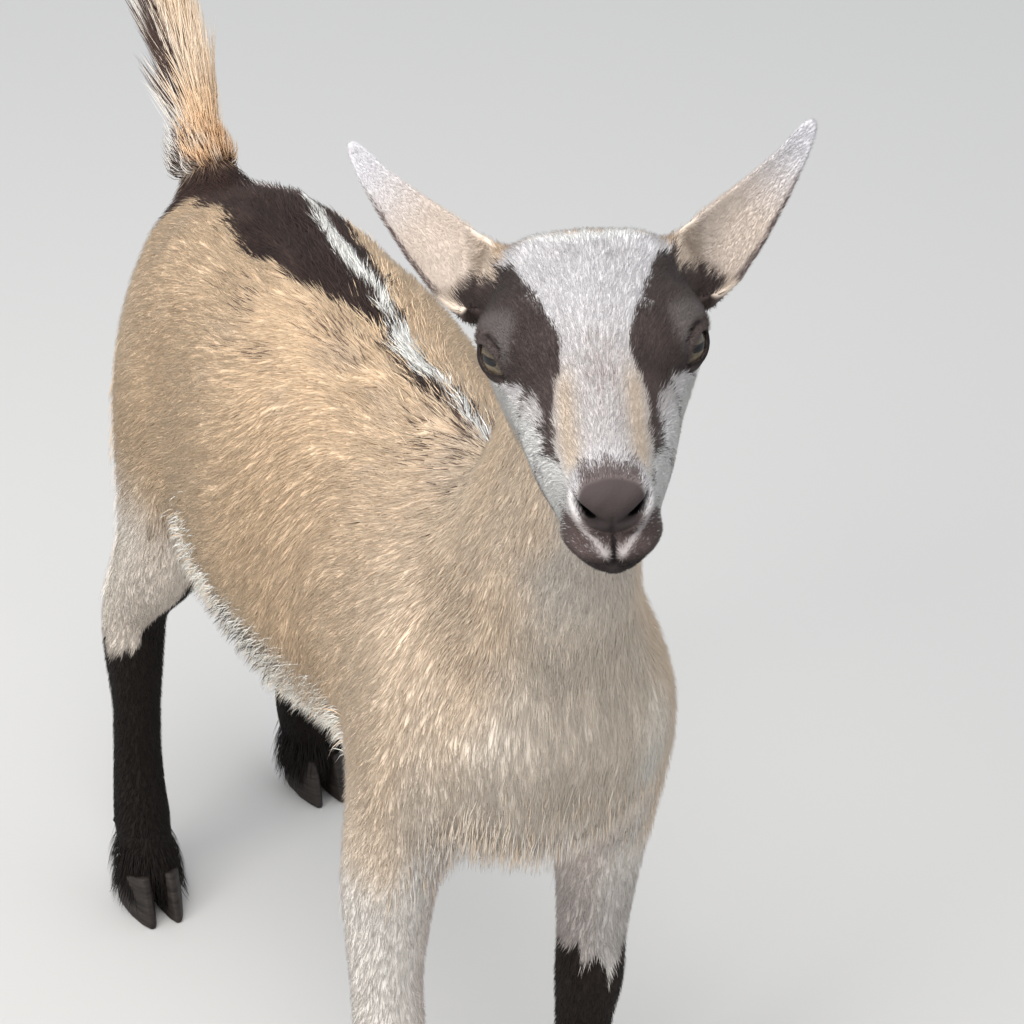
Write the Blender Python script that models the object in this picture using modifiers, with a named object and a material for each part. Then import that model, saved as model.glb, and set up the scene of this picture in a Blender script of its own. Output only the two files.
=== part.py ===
# A young alpine goat, hornless, standing square with its head turned and its tail up.
# Life size, in metres. The goat faces -Y, its left side is +X, and it stands on z = 0.

import math
from itertools import pairwise

import bmesh
import bpy
import numpy as np
from mathutils import Euler, Matrix, Vector

# Driving dimensions
WITHERS = 0.560          # height of the withers above the floor
HEAD_LENGTH = 0.191      # poll to the tip of the nose
EYE_R = 0.0130           # eyeball
EAR_LENGTH = 0.098       # root to tip
TAIL_LENGTH = 0.185      # out to the tips of its hair
GAP = 0.0003             # left between nodes that meet

# Head, placed between the eyes: where it is and how it is turned
HEAD_AT = Vector((-0.070, -0.2205, 0.733))
HEAD_TURN = Euler((math.radians(3.5), math.radians(-6.8), math.radians(-25.3)), "XYZ")
HEAD_DRAWN = 0.182       # length that the head's own rows are drawn at

# Stance: how far each hoof stands wider than square, and behind its square place
STANCE = {
    "front_left": (0.0, 0.0),
    "front_right": (0.0, 0.0),
    "hind_left": (0.030, 0.067),
    "hind_right": (0.012, -0.030),
}

SWING_FROM = 0.46        # the legs swing from this height

BODY_VOXEL, HEAD_VOXEL = 0.0058, 0.0032
LOFT_SIDES = 28
LOCK_SEED = 12


def collection(name, shown=True):
    made = bpy.data.collections.new(name)
    bpy.context.scene.collection.children.link(made)
    made.hide_render = not shown
    return made


def material(name, colour, roughness=0.75, metallic=0.0):
    made = bpy.data.materials.new(name)
    made.use_nodes = True
    shader = made.node_tree.nodes["Principled BSDF"]
    shader.inputs["Base Color"].default_value = (*colour, 1.0)
    shader.inputs["Roughness"].default_value = roughness
    shader.inputs["Metallic"].default_value = metallic
    made.diffuse_color = (*colour, 1.0)
    return made


def clear_scene():
    for old in list(bpy.data.objects):
        bpy.data.objects.remove(old)


def object_from(bm, name, into):
    """A mesh object made from bm, which is freed."""
    mesh = bpy.data.meshes.new(name)
    bm.to_mesh(mesh)
    bm.free()
    made = bpy.data.objects.new(name, mesh)
    into.objects.link(made)
    return made


# Lofts: sections carried along a path


def spline(rows, count):
    """Rows of numbers read as knots of a Catmull-Rom curve, at count even steps."""
    rows = np.asarray(rows, float)
    knots = np.vstack([2 * rows[0] - rows[1], rows, 2 * rows[-1] - rows[-2]])
    at = np.linspace(0, len(rows) - 1, count)
    low = np.minimum(at.astype(int), len(rows) - 2)
    t = (at - low)[:, None]
    p0, p1, p2, p3 = (knots[low + k] for k in range(4))
    return 0.5 * (
        2 * p1
        + (p2 - p0) * t
        + (2 * p0 - 5 * p1 + 4 * p2 - p3) * t**2
        + (3 * p1 - p0 - 3 * p2 + p3) * t**3
    )


def unit(rows):
    return rows / np.linalg.norm(rows, axis=-1, keepdims=True)


def skin_rings(rings, name, into):
    """A closed mesh through rings of equally many points, capped at both ends."""
    bm = bmesh.new()
    made = [[bm.verts.new(p) for p in ring] for ring in rings]
    for low, high in pairwise(made):
        for i in range(len(low)):
            j = (i + 1) % len(low)
            bm.faces.new((low[i], low[j], high[j], high[i]))
    for ring in (made[0], made[-1]):
        bmesh.ops.triangulate(bm, faces=[bm.faces.new(ring)])
    bmesh.ops.recalc_face_normals(bm, faces=bm.faces)
    return object_from(bm, name, into)


def section(angle, half_width, up, down, top_power=2.0, low_power=2.0):
    """An egg-shaped outline: its two halves have their own height and fullness."""
    c, s = np.cos(angle), np.sin(angle)
    power = np.where(s > 0, top_power, low_power)
    x = half_width * np.sign(c) * np.abs(c) ** (2 / power)
    z = np.where(s > 0, up, down) * np.sign(s) * np.abs(s) ** (2 / power)
    return x, z


def loft(name, rows, up_hint, into, rings=30, sides=LOFT_SIDES):
    """Rows are x, y, z, half width, up, down, top power, low power, along a path."""
    rows = spline(rows, rings)
    centre = rows[:, :3]
    along = unit(np.gradient(centre, axis=0))
    up = np.asarray(up_hint, float) - along * (along @ np.asarray(up_hint, float))[:, None]
    up = unit(up)
    side = np.cross(up, along)
    side *= np.sign(side[:, :1] + 1e-9)
    angle = np.linspace(0, 2 * math.pi, sides, endpoint=False)
    made = []
    for i in range(rings):
        x, z = section(angle, *rows[i, 3:8])
        made.append(centre[i] + np.outer(x, side[i]) + np.outer(z, up[i]))
    return skin_rings(made, name, into)


def egg(name, at, radii, into, turn=(0, 0, 0)):
    """An ellipsoid, turned by angles in degrees."""
    bm = bmesh.new()
    bmesh.ops.create_uvsphere(bm, u_segments=20, v_segments=12, radius=1.0)
    turned = Euler([math.radians(a) for a in turn]).to_matrix().to_4x4()
    bm.transform(Matrix.Translation(at) @ turned @ Matrix.Diagonal((*radii, 1)))
    return object_from(bm, name, into)


# Working on whole objects


def apply_modifiers(thing):
    graph = bpy.context.evaluated_depsgraph_get()
    done = bpy.data.meshes.new_from_object(thing.evaluated_get(graph))
    old = thing.data
    thing.modifiers.clear()
    thing.data = done
    bpy.data.meshes.remove(old)
    return thing


def joined(name, things, into):
    """One object that holds copies of several objects' meshes."""
    bm = bmesh.new()
    for thing in things:
        at = len(bm.verts)
        bm.from_mesh(thing.data)
        bm.verts.ensure_lookup_table()
        bmesh.ops.transform(bm, matrix=thing.matrix_world, verts=bm.verts[at:])
    return object_from(bm, name, into)


def discard(things):
    for thing in list(things):
        bpy.data.objects.remove(thing)


def smooth_points(thing, rounds, strength=1.0):
    """Moves each point half way to the mean of its neighbours, round after round.
    strength, one number for each point or for all, scales the move."""
    mesh = thing.data
    points = np.empty(len(mesh.vertices) * 3, np.float32)
    mesh.vertices.foreach_get("co", points)
    points = points.reshape(-1, 3).astype(float)
    ends = np.empty(len(mesh.edges) * 2, np.int32)
    mesh.edges.foreach_get("vertices", ends)
    here, there = np.concatenate([ends[::2], ends[1::2]]), np.concatenate([ends[1::2], ends[::2]])
    neighbours = np.maximum(np.bincount(here, minlength=len(points)), 1)[:, None]
    share = 0.5 * np.broadcast_to(strength, len(points))[:, None]
    for _ in range(rounds):
        total = np.column_stack([
            np.bincount(here, weights=points[there, axis], minlength=len(points)) for axis in range(3)
        ])
        points += (total / neighbours - points) * share
    mesh.vertices.foreach_set("co", points.ravel().astype(np.float32))
    mesh.update()


def melt(name, things, voxel, rounds, softer, triangles, into):
    """Pieces that overlap, melted into one smooth closed body with few triangles.
    softer gives, for points, how much the body is smoothed again there."""
    body = joined(name, things, into)
    remesh = body.modifiers.new("Melt", "REMESH")
    remesh.mode = "VOXEL"
    remesh.voxel_size = voxel
    apply_modifiers(body)
    smooth_points(body, rounds)
    smooth_points(body, 3 * rounds, softer(np.array([v.co for v in body.data.vertices])))
    faces = sum(len(p.vertices) - 2 for p in body.data.polygons)
    fewer = body.modifiers.new("Fewer", "DECIMATE")
    fewer.ratio = min(1.0, triangles / faces)
    fewer.use_collapse_triangulate = True
    return keep_largest(apply_modifiers(body))


def islands_of(bm):
    """The separate closed surfaces in bm, as lists of faces."""
    left = set(bm.faces)
    found = []
    while left:
        stack = [left.pop()]
        island = []
        while stack:
            face = stack.pop()
            island.append(face)
            for edge in face.edges:
                for other in edge.link_faces:
                    if other in left:
                        left.remove(other)
                        stack.append(other)
        found.append(island)
    return found


def keep_largest(thing):
    """Drops every closed surface of an object but the one with most volume."""
    bm = bmesh.new()
    bm.from_mesh(thing.data)
    found = islands_of(bm)
    if len(found) > 1:
        def volume(island):
            return abs(sum(
                (a.co.cross(b.co)).dot(c.co)
                for face in island
                for a, b, c in [tuple(loop.vert for loop in face.loops[:3])]
            ))
        bmesh.ops.triangulate(bm, faces=bm.faces)
        found = islands_of(bm)
        keep = set(max(found, key=volume))
        bmesh.ops.delete(bm, geom=[f for f in bm.faces if f not in keep], context="FACES")
    bm.to_mesh(thing.data)
    bm.free()
    return thing


def boolean(thing, others, operation, solver="MANIFOLD"):
    """Joins or cuts thing with a list of closed objects, which are then removed.
    Only the largest closed surface is kept, unless the operation is CUT, which parts it."""
    tools = bpy.data.collections.new("tools")
    for other in others:
        tools.objects.link(other)
    work = thing.modifiers.new("Work", "BOOLEAN")
    work.operation = "DIFFERENCE" if operation == "CUT" else operation
    work.operand_type = "COLLECTION"
    work.collection = tools
    work.solver = solver
    apply_modifiers(thing)
    discard(others)
    bpy.data.collections.remove(tools)
    return thing if operation == "CUT" else keep_largest(thing)


def copy_of(thing, name, into):
    made = bpy.data.objects.new(name, thing.data.copy())
    made.matrix_world = thing.matrix_world
    into.objects.link(made)
    return made


def grown(thing, by, into):
    """A copy of thing with its surface moved outwards."""
    made = copy_of(thing, thing.name + "_grown", into)
    mesh = made.data
    points = np.empty(len(mesh.vertices) * 3, np.float32)
    normals = np.empty(len(mesh.vertices) * 3, np.float32)
    mesh.vertices.foreach_get("co", points)
    mesh.vertex_normals.foreach_get("vector", normals)
    mesh.vertices.foreach_set("co", points + normals * by)
    mesh.update()
    return made


def disc(name, at, facing, radius, into, thickness=GAP):
    """A thin round cutter that parts one node from the next."""
    bm = bmesh.new()
    bmesh.ops.create_cone(
        bm, cap_ends=True, segments=32, radius1=radius, radius2=radius, depth=thickness
    )
    turn = Vector(facing).to_track_quat("Z", "Y").to_matrix().to_4x4()
    bm.transform(Matrix.Translation(at) @ turn)
    made = object_from(bm, name, into)
    made.hide_render = True
    made.display_type = "WIRE"
    return made


def part_from(whole, seeds, into):
    """Splits a body that thin cuts have parted. Each seed names the piece it is nearest."""
    bm = bmesh.new()
    bm.from_mesh(whole.data)
    made = {}
    pieces = []
    for island in islands_of(bm):
        verts = {v for face in island for v in face.verts}
        pieces.append((island, np.array([v.co for v in verts])))
    for name, at in seeds.items():
        near = [np.linalg.norm(points - np.array(at), axis=1).min() for _, points in pieces]
        island = pieces[int(np.argmin(near))][0]
        index = {v: i for i, v in enumerate({v for f in island for v in f.verts})}
        mesh = bpy.data.meshes.new(name)
        mesh.from_pydata(
            [v.co for v in index], [], [[index[v] for v in f.verts] for f in island]
        )
        made[name] = bpy.data.objects.new(name, mesh)
        into.objects.link(made[name])
    bm.free()
    bpy.data.objects.remove(whole)
    return made


# The trunk and neck


def trunk_rows():
    """Rump to breast: x, y, z of the widest level, half width, up, down, powers."""
    top = WITHERS
    outline = [
        # y, top line, under line, half width, widest level, top power, low power
        (0.474, top - 0.076, 0.446, 0.016, 0.470, 2.0, 2.0),
        (0.463, top - 0.052, 0.410, 0.038, 0.472, 2.0, 2.0),
        (0.432, top - 0.020, 0.382, 0.060, 0.474, 2.0, 2.0),
        (0.375, top + 0.008, 0.356, 0.076, 0.460, 2.3, 2.0),
        (0.310, top + 0.010, 0.335, 0.091, 0.432, 2.5, 2.1),
        (0.250, top + 0.003, 0.319, 0.103, 0.418, 2.5, 2.2),
        (0.190, top - 0.006, 0.309, 0.107, 0.412, 2.3, 2.2),
        (0.125, top - 0.011, 0.306, 0.102, 0.407, 2.0, 2.1),
        (0.060, top - 0.006, 0.309, 0.092, 0.406, 1.7, 2.0),
        (0.000, top + 0.000, 0.316, 0.087, 0.408, 1.5, 2.0),
        (-0.050, top - 0.022, 0.326, 0.087, 0.412, 1.6, 2.0),
        (-0.095, top - 0.062, 0.344, 0.078, 0.420, 1.8, 2.0),
        (-0.122, top - 0.092, 0.368, 0.056, 0.424, 2.0, 2.0),
        (-0.135, top - 0.116, 0.392, 0.026, 0.422, 2.0, 2.0),
    ]
    return [
        (0, y, level, half, high - level, level - low, p, q)
        for y, high, low, half, level, p, q in outline
    ]


def ramp(value, low, high):
    """0 below low, 1 above high and straight between."""
    return np.clip((value - low) / (high - low), 0, 1)


def on_trunk(points):
    """1 on the trunk, fading out down the legs, up the neck and along the tail."""
    _, y, z = points.T
    return ramp(z, 0.335, 0.39) * (1 - ramp(z, 0.56, 0.62)) * (1 - ramp(y, 0.42, 0.44) * ramp(z, 0.50, 0.53))


def on_brow(points):
    """1 on the brow, poll and ear roots, fading out towards the muzzle."""
    local = (points - np.array(HEAD_AT)) @ np.array(HEAD_TURN.to_matrix())
    return 0.8 * ramp(local[:, 1], -0.045, -0.015)


def neck_rows():
    """Base of the neck to the throat."""
    throat = head_frame() @ Vector((0, 0.058, -0.036))
    crown = head_frame() @ Vector((0, 0.030, -0.026))
    return [
        (0.002, 0.015, 0.440, 0.078, 0.092, 0.104, 1.7, 2.0),
        (0.000, -0.035, 0.480, 0.069, 0.084, 0.098, 1.7, 2.0),
        (-0.008, -0.078, 0.532, 0.053, 0.067, 0.076, 1.8, 2.0),
        (-0.017, -0.108, 0.592, 0.0415, 0.053, 0.056, 2.0, 2.0),
        (-0.026, -0.134, 0.650, 0.0365, 0.046, 0.046, 2.0, 2.0),
        (*throat, 0.0365, 0.044, 0.048, 2.0, 2.0),
        (*crown, 0.034, 0.036, 0.040, 2.0, 2.0),
    ]


# The legs


def leg_rows(end, side):
    """Top of a leg down to the coronet: x, y, z, half width, forward, back, powers."""
    if end == "front":
        rows = [
            (0.022, 0.024, 0.536, 0.010, 0.022, 0.024),
            (0.040, 0.004, 0.500, 0.020, 0.042, 0.050),
            (0.059, -0.028, 0.450, 0.029, 0.050, 0.066),
            (0.067, -0.050, 0.400, 0.032, 0.046, 0.068),
            (0.069, -0.041, 0.345, 0.031, 0.042, 0.052),
            (0.070, -0.032, 0.290, 0.030, 0.034, 0.036),
            (0.070, -0.032, 0.245, 0.0265, 0.0275, 0.0285),
            (0.069, -0.034, 0.208, 0.0245, 0.0250, 0.0245),
            (0.068, -0.037, 0.186, 0.0255, 0.0270, 0.0245),
            (0.068, -0.036, 0.160, 0.0222, 0.0225, 0.0225),
            (0.068, -0.035, 0.118, 0.0198, 0.0200, 0.0210),
            (0.068, -0.036, 0.085, 0.0208, 0.0205, 0.0225),
            (0.068, -0.040, 0.064, 0.0235, 0.0225, 0.0250),
            (0.068, -0.049, 0.045, 0.0222, 0.0215, 0.0225),
            (0.068, -0.056, 0.032, 0.0225, 0.0240, 0.0230),
            (0.068, -0.059, 0.012, 0.0222, 0.0245, 0.0225),
        ]
    else:
        rows = [
            (0.034, 0.375, 0.520, 0.020, 0.050, 0.060),
            (0.047, 0.370, 0.470, 0.033, 0.070, 0.084),
            (0.057, 0.358, 0.415, 0.038, 0.070, 0.088),
            (0.064, 0.350, 0.362, 0.036, 0.058, 0.078),
            (0.067, 0.362, 0.310, 0.032, 0.044, 0.052),
            (0.068, 0.392, 0.268, 0.0275, 0.032, 0.036),
            (0.067, 0.420, 0.234, 0.0250, 0.027, 0.030),
            (0.066, 0.430, 0.208, 0.0250, 0.029, 0.033),
            (0.066, 0.428, 0.180, 0.0235, 0.027, 0.029),
            (0.066, 0.424, 0.145, 0.0208, 0.022, 0.0225),
            (0.066, 0.420, 0.105, 0.0205, 0.0212, 0.0225),
            (0.066, 0.416, 0.080, 0.0220, 0.0222, 0.0235),
            (0.066, 0.411, 0.062, 0.0240, 0.0235, 0.0250),
            (0.066, 0.402, 0.044, 0.0225, 0.0222, 0.0225),
            (0.066, 0.395, 0.032, 0.0225, 0.0240, 0.0230),
            (0.066, 0.392, 0.012, 0.0222, 0.0245, 0.0225),
        ]
    return [
        (*stood(end, side, x, y, z), half, forward, back, 2.1, 2.1)
        for x, y, z, half, forward, back in rows
    ]


def stood(end, side, x, y, z):
    """A point of a square leg, moved to where the stance puts it."""
    wider, behind = STANCE[f"{end}_{'left' if side > 0 else 'right'}"]
    share = min(1.0, max(0.0, (SWING_FROM - z) / SWING_FROM))
    return side * (x + wider * share**2), y + behind * share, z


def foot_of(end, side):
    """Centre of a leg's lowest section."""
    return leg_rows(end, side)[-1][:2]


def hock_rows(side):
    """The heel bone stands out behind the hind leg."""
    return [
        (*stood("hind", side, 0.068, 0.418, 0.262), 0.013, 0.012, 0.014, 2, 2),
        (*stood("hind", side, 0.067, 0.446, 0.232), 0.015, 0.014, 0.014, 2, 2),
        (*stood("hind", side, 0.066, 0.449, 0.214), 0.015, 0.015, 0.013, 2, 2),
        (*stood("hind", side, 0.066, 0.438, 0.185), 0.012, 0.012, 0.010, 2, 2),
    ]


# The head, in its own frame: x left, -y to the nose, z up from the brow


def head_rows():
    """Back of the skull to the tip of the nose."""
    rows = [
        # forward, top, bottom, half width, widest level, powers
        (-0.092, 0.000, -0.052, 0.026, -0.022, 2.0, 2.0),
        (-0.078, 0.014, -0.072, 0.039, -0.022, 2.0, 2.0),
        (-0.058, 0.022, -0.084, 0.0455, -0.020, 2.1, 2.0),
        (-0.034, 0.026, -0.088, 0.0490, -0.012, 2.2, 1.9),
        (-0.008, 0.026, -0.084, 0.0495, -0.008, 2.3, 1.8),
        (0.016, 0.021, -0.076, 0.0425, -0.012, 2.2, 1.8),
        (0.040, 0.012, -0.067, 0.0320, -0.020, 2.1, 1.9),
        (0.064, 0.005, -0.060, 0.0255, -0.026, 2.1, 2.0),
        (0.084, 0.000, -0.057, 0.0220, -0.030, 2.1, 2.1),
        (0.098, -0.005, -0.054, 0.0205, -0.032, 2.1, 2.1),
        (0.108, -0.013, -0.048, 0.0150, -0.030, 2.0, 2.0),
    ]
    return [
        (0, -forward, level, half, high - level, level - low, p, q)
        for forward, high, low, half, level, p, q in rows
    ]


HEAD_EGGS = [
    # name, place for the left side (x, forward, z), radii, mirrored
    ("brow", (0.0340, -0.003, 0.003), (0.0200, 0.027, 0.0160), True),
    ("cheek", (0.0250, -0.036, -0.048), (0.0185, 0.034, 0.034), True),
    ("poll_bump", (0.0200, -0.047, 0.0175), (0.0185, 0.021, 0.0090), True),
    ("ear_root", (0.0370, -0.062, -0.007), (0.0185, 0.0160, 0.0165), True),
    ("nose_pad", (0.0, 0.1010, -0.0185), (0.0190, 0.0125, 0.0145), False),
    ("upper_lip", (0.0085, 0.0955, -0.0365), (0.0130, 0.0165, 0.0125), True),
    ("chin", (0.0, 0.0850, -0.0520), (0.0160, 0.0165, 0.0105), False),
]


def head_frame():
    size = Matrix.Scale(HEAD_LENGTH / HEAD_DRAWN, 4)
    return Matrix.Translation(HEAD_AT) @ HEAD_TURN.to_matrix().to_4x4() @ size


def head_pieces(into):
    pieces = [loft("skull", head_rows(), (0, 0, 1), into, rings=32)]
    for name, (x, forward, z), radii, mirrored in HEAD_EGGS:
        for side in (1, -1) if mirrored else (1,):
            pieces.append(egg(name, (side * x, -forward, z), radii, into))
    for piece in pieces:
        piece.data.transform(head_frame())
    return pieces


EYE_AT = Vector((0.0362, -0.004, -0.003))       # left eyeball's centre, in the head's frame
EYE_FACES = Vector((0.77, -0.62, 0.12)).normalized()
LID = 0.0024                                     # thickness of the lids
LID_LENGTH, LID_HEIGHT = 0.0235, 0.0165


def mirrored(v, side):
    return Vector((v.x * side, v.y, v.z))


def lid_opening(name, side, into):
    """A lens-shaped cutter that opens the lids over the eyeball."""
    faces = mirrored(EYE_FACES, side)
    corner_line = Vector((0, -0.93, -0.30))
    corner_line = (corner_line - faces * corner_line.dot(faces)).normalized()
    upward = faces.cross(corner_line)
    upward *= 1 if upward.z > 0 else -1
    angle = np.linspace(0, 2 * math.pi, 24, endpoint=False)
    across, high = np.cos(angle), np.sin(angle)
    high = np.sign(high) * np.abs(high) ** 1.15
    start, stop = EYE_R * 0.35, EYE_R * 2.6
    rings = []
    for depth, size in ((start, 0.8), (stop, 1.25)):
        centre = mirrored(EYE_AT, side) + faces * depth
        rings.append([
            centre + corner_line * (a * LID_LENGTH / 2 * size) + upward * (h * LID_HEIGHT / 2 * size)
            for a, h in zip(across, high, strict=True)
        ])
    made = skin_rings(rings, name, into)
    made.data.transform(head_frame())
    return made


def ball(name, at, radius, into, segments=16, rings=10):
    bm = bmesh.new()
    bmesh.ops.create_uvsphere(bm, u_segments=segments, v_segments=rings, radius=radius)
    bm.transform(Matrix.Translation(at))
    return object_from(bm, name, into)


def snapped(head, points, sink):
    """Points in the head's frame, moved to its surface and then sink below it."""
    made = []
    for p in points:
        _, at, normal, _ = head.closest_point_on_mesh(head_frame() @ Vector(p))
        made.append(at - normal * sink)
    return made


def wire(name, points, radii, into, sides=6):
    """A tube through points, with a radius at each."""
    rows = np.column_stack([np.array(points), radii])
    rows = spline(rows, 3 * (len(points) - 1) + 1)
    centre = rows[:, :3]
    along = unit(np.gradient(centre, axis=0))
    angle = np.linspace(0, 2 * math.pi, sides, endpoint=False)
    made = []
    for i, (at, way) in enumerate(zip(centre, along, strict=True)):
        side = np.cross(way, (0.31, 0.22, 0.93))
        side /= np.linalg.norm(side)
        up = np.cross(side, way)
        made.append(at + rows[i, 3] * (np.outer(np.cos(angle), side) + np.outer(np.sin(angle), up)))
    return skin_rings(made, name, into)


def face_cuts(head, into):
    """The line of the mouth, the groove under the nose and the nostrils."""
    mouth = [
        (-0.0235, -0.052, -0.0430), (-0.0225, -0.068, -0.0440), (-0.0190, -0.086, -0.0455),
        (-0.0100, -0.101, -0.0465), (0.0, -0.106, -0.0460), (0.0100, -0.101, -0.0465),
        (0.0190, -0.086, -0.0455), (0.0225, -0.068, -0.0440), (0.0235, -0.052, -0.0430),
    ]
    cuts = [wire("mouth", snapped(head, mouth, 0.0002), [0.0009] + [0.0014] * 7 + [0.0009], into)]
    groove = [(0, -0.120, -0.0270), (0, -0.118, -0.0350), (0, -0.112, -0.0440)]
    cuts.append(wire("groove", snapped(head, groove, 0.0), [0.0010, 0.0011, 0.0011], into))
    for side in (1, -1):
        nostril = [
            (side * 0.0040, -0.122, -0.0215), (side * 0.0085, -0.118, -0.0185),
            (side * 0.0125, -0.112, -0.0130), (side * 0.0135, -0.106, -0.0085),
        ]
        radii = [0.0020, 0.0027, 0.0022, 0.0012]
        cuts.append(wire("nostril", snapped(head, nostril, 0.0002), radii, into, sides=8))
    return cuts


# Ears, eyes, hooves and tail


def ear_surface(side, into):
    """A leaf-shaped sheet, rolled into a cup at its root and opening towards the tip."""
    root = Vector((side * 0.0430, 0.060, -0.010))
    outward = 0.67 if side < 0 else 0.75    # the left ear is held out a little further
    axis = Vector((side * outward, 0.62, 0.41)).normalized()
    facing = Vector((side * 0.05, -0.80, 0.60))
    facing = (facing - axis * facing.dot(axis)).normalized()
    across = axis.cross(facing)
    width = spline([(0.0, 0.0150), (0.18, 0.0172), (0.42, 0.0150), (0.68, 0.0110),
                    (0.88, 0.0070), (0.97, 0.0042), (1.0, 0.0014)], 13)
    roll = np.interp(width[:, 0], [0, 0.25, 0.6, 1], [2.0, 1.25, 0.75, 0.45])
    bm = bmesh.new()
    grid = []
    columns = np.linspace(-1, 1, 7)
    for (t, half), bend in zip(width, roll, strict=True):
        sweep = 0.10 * t * t
        centre = root + axis * (t * EAR_LENGTH) + Vector((side * -0.2, 0.35, 0.9)) * (sweep * 0.12)
        radius = half / math.sin(min(bend, math.pi / 2))
        row = []
        for v in columns:
            a = v * bend
            row.append(bm.verts.new(
                centre + across * (radius * math.sin(a)) - facing * (radius * math.cos(a) - radius * 0.6)
            ))
        grid.append(row)
    for low, high in pairwise(grid):
        for (a, b), (c, d) in zip(pairwise(low), pairwise(high), strict=True):
            bm.faces.new((a, b, d, c))
    bmesh.ops.recalc_face_normals(bm, faces=bm.faces)
    ear = object_from(bm, f"ear_{'left' if side > 0 else 'right'}", into)
    ear.data.transform(head_frame())
    wall = ear.modifiers.new("Wall", "SOLIDIFY")
    wall.thickness = 0.0028
    wall.offset = 0.0
    return apply_modifiers(ear)


CORONET = 0.0300         # height where hair meets horn, over the middle of the foot
CORONET_RISE = 0.25      # it rises this steeply towards the toe

CLAW_ROWS = [
    # coronet to sole of one claw: z, forward, back, half width
    (0.0440, 0.0150, 0.0150, 0.0090),
    (0.0280, 0.0245, 0.0180, 0.0098),
    (0.0120, 0.0330, 0.0195, 0.0105),
    (0.0000, 0.0385, 0.0190, 0.0100),
]


def coronet_block(foot, above, into):
    """A block that takes away all above the coronet, or all below it, and half the gap."""
    width, depth = 0.10, 0.06
    bm = bmesh.new()
    bmesh.ops.create_cube(bm, size=1.0)
    offset = (depth - GAP) / 2 * (1 if above else -1)
    turn = Vector((0, CORONET_RISE, 1)).to_track_quat("Z", "Y").to_matrix().to_4x4()
    bm.transform(
        Matrix.Translation((foot[0], foot[1], CORONET)) @ turn
        @ Matrix.Translation((0, 0, offset)) @ Matrix.Diagonal((width, width, depth, 1))
    )
    return object_from(bm, "coronet_block", into)


def claw(name, foot, out, into):
    """One claw of a cloven hoof: flat sole, pointed toe, cut off at the coronet."""
    spread = 0.0114
    angle = np.linspace(0, 2 * math.pi, 14, endpoint=False)
    rings = []
    for z, forward, back, half in spline(CLAW_ROWS, 4):
        c, s = np.cos(angle), np.sin(angle)
        x = half * np.sign(c) * np.abs(c) ** 0.8
        y = -np.where(s > 0, forward * s, back * np.sign(s) * np.abs(s) ** 0.7)
        narrow = np.where(s > 0, 1 - 0.38 * s**2, 1)
        toe_in = -out * 0.0016 * np.clip(s, 0, 1) ** 2
        rings.append(np.column_stack([
            foot[0] + out * spread + x * narrow + toe_in,
            foot[1] + y,
            np.full(len(angle), max(z, 0.0)),
        ]))
    made = skin_rings(rings, name, into)
    return boolean(made, [coronet_block(foot, True, into)], "DIFFERENCE")


def dewclaw(name, foot, out, into, leg):
    """A small blunt horn behind the fetlock."""
    at = Vector((foot[0] + out * 0.0110, foot[1] + 0.0335, 0.0560))
    rows = [
        (at.x, at.y - 0.0120, at.z + 0.0070, 0.0062, 0.0052, 0.0052, 2, 2),
        (at.x, at.y - 0.0040, at.z + 0.0020, 0.0062, 0.0055, 0.0050, 2, 2),
        (at.x, at.y + 0.0020, at.z - 0.0040, 0.0048, 0.0042, 0.0040, 2, 2),
        (at.x, at.y + 0.0040, at.z - 0.0090, 0.0022, 0.0020, 0.0020, 2, 2),
    ]
    made = loft(name, rows, (0, -1, 0), into, rings=5, sides=8)
    return boolean(made, [grown(leg, 2 * GAP, into)], "DIFFERENCE")


TAIL_ROOT = Vector((0, 0.428, 0.515))
TAIL_LEAN = Vector((-0.08, 0.52, 0.85)).normalized()


TAIL_CORE = [
    # share of the whole length, half width, front, back: the tail under its hair
    (0.0, 0.028, 0.025, 0.025), (0.15, 0.025, 0.022, 0.023), (0.28, 0.018, 0.016, 0.018),
    (0.50, 0.0155, 0.013, 0.016), (0.70, 0.013, 0.011, 0.013), (0.82, 0.009, 0.008, 0.009),
    (0.86, 0.004, 0.004, 0.004),
]


def tail_at(share):
    """Middle of the tail, at a share of its length from its root to its hair's tips."""
    bend = Vector((0, -0.012, 0.0)) * share**2
    return TAIL_ROOT + TAIL_LEAN * (share * (TAIL_LENGTH + 0.03)) + bend


def tail_rows():
    return [(*tail_at(share), half, front, back, 2, 2) for share, half, front, back in TAIL_CORE]


# Long hair, as flat tapered locks that overlap along the lie of the coat


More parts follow.
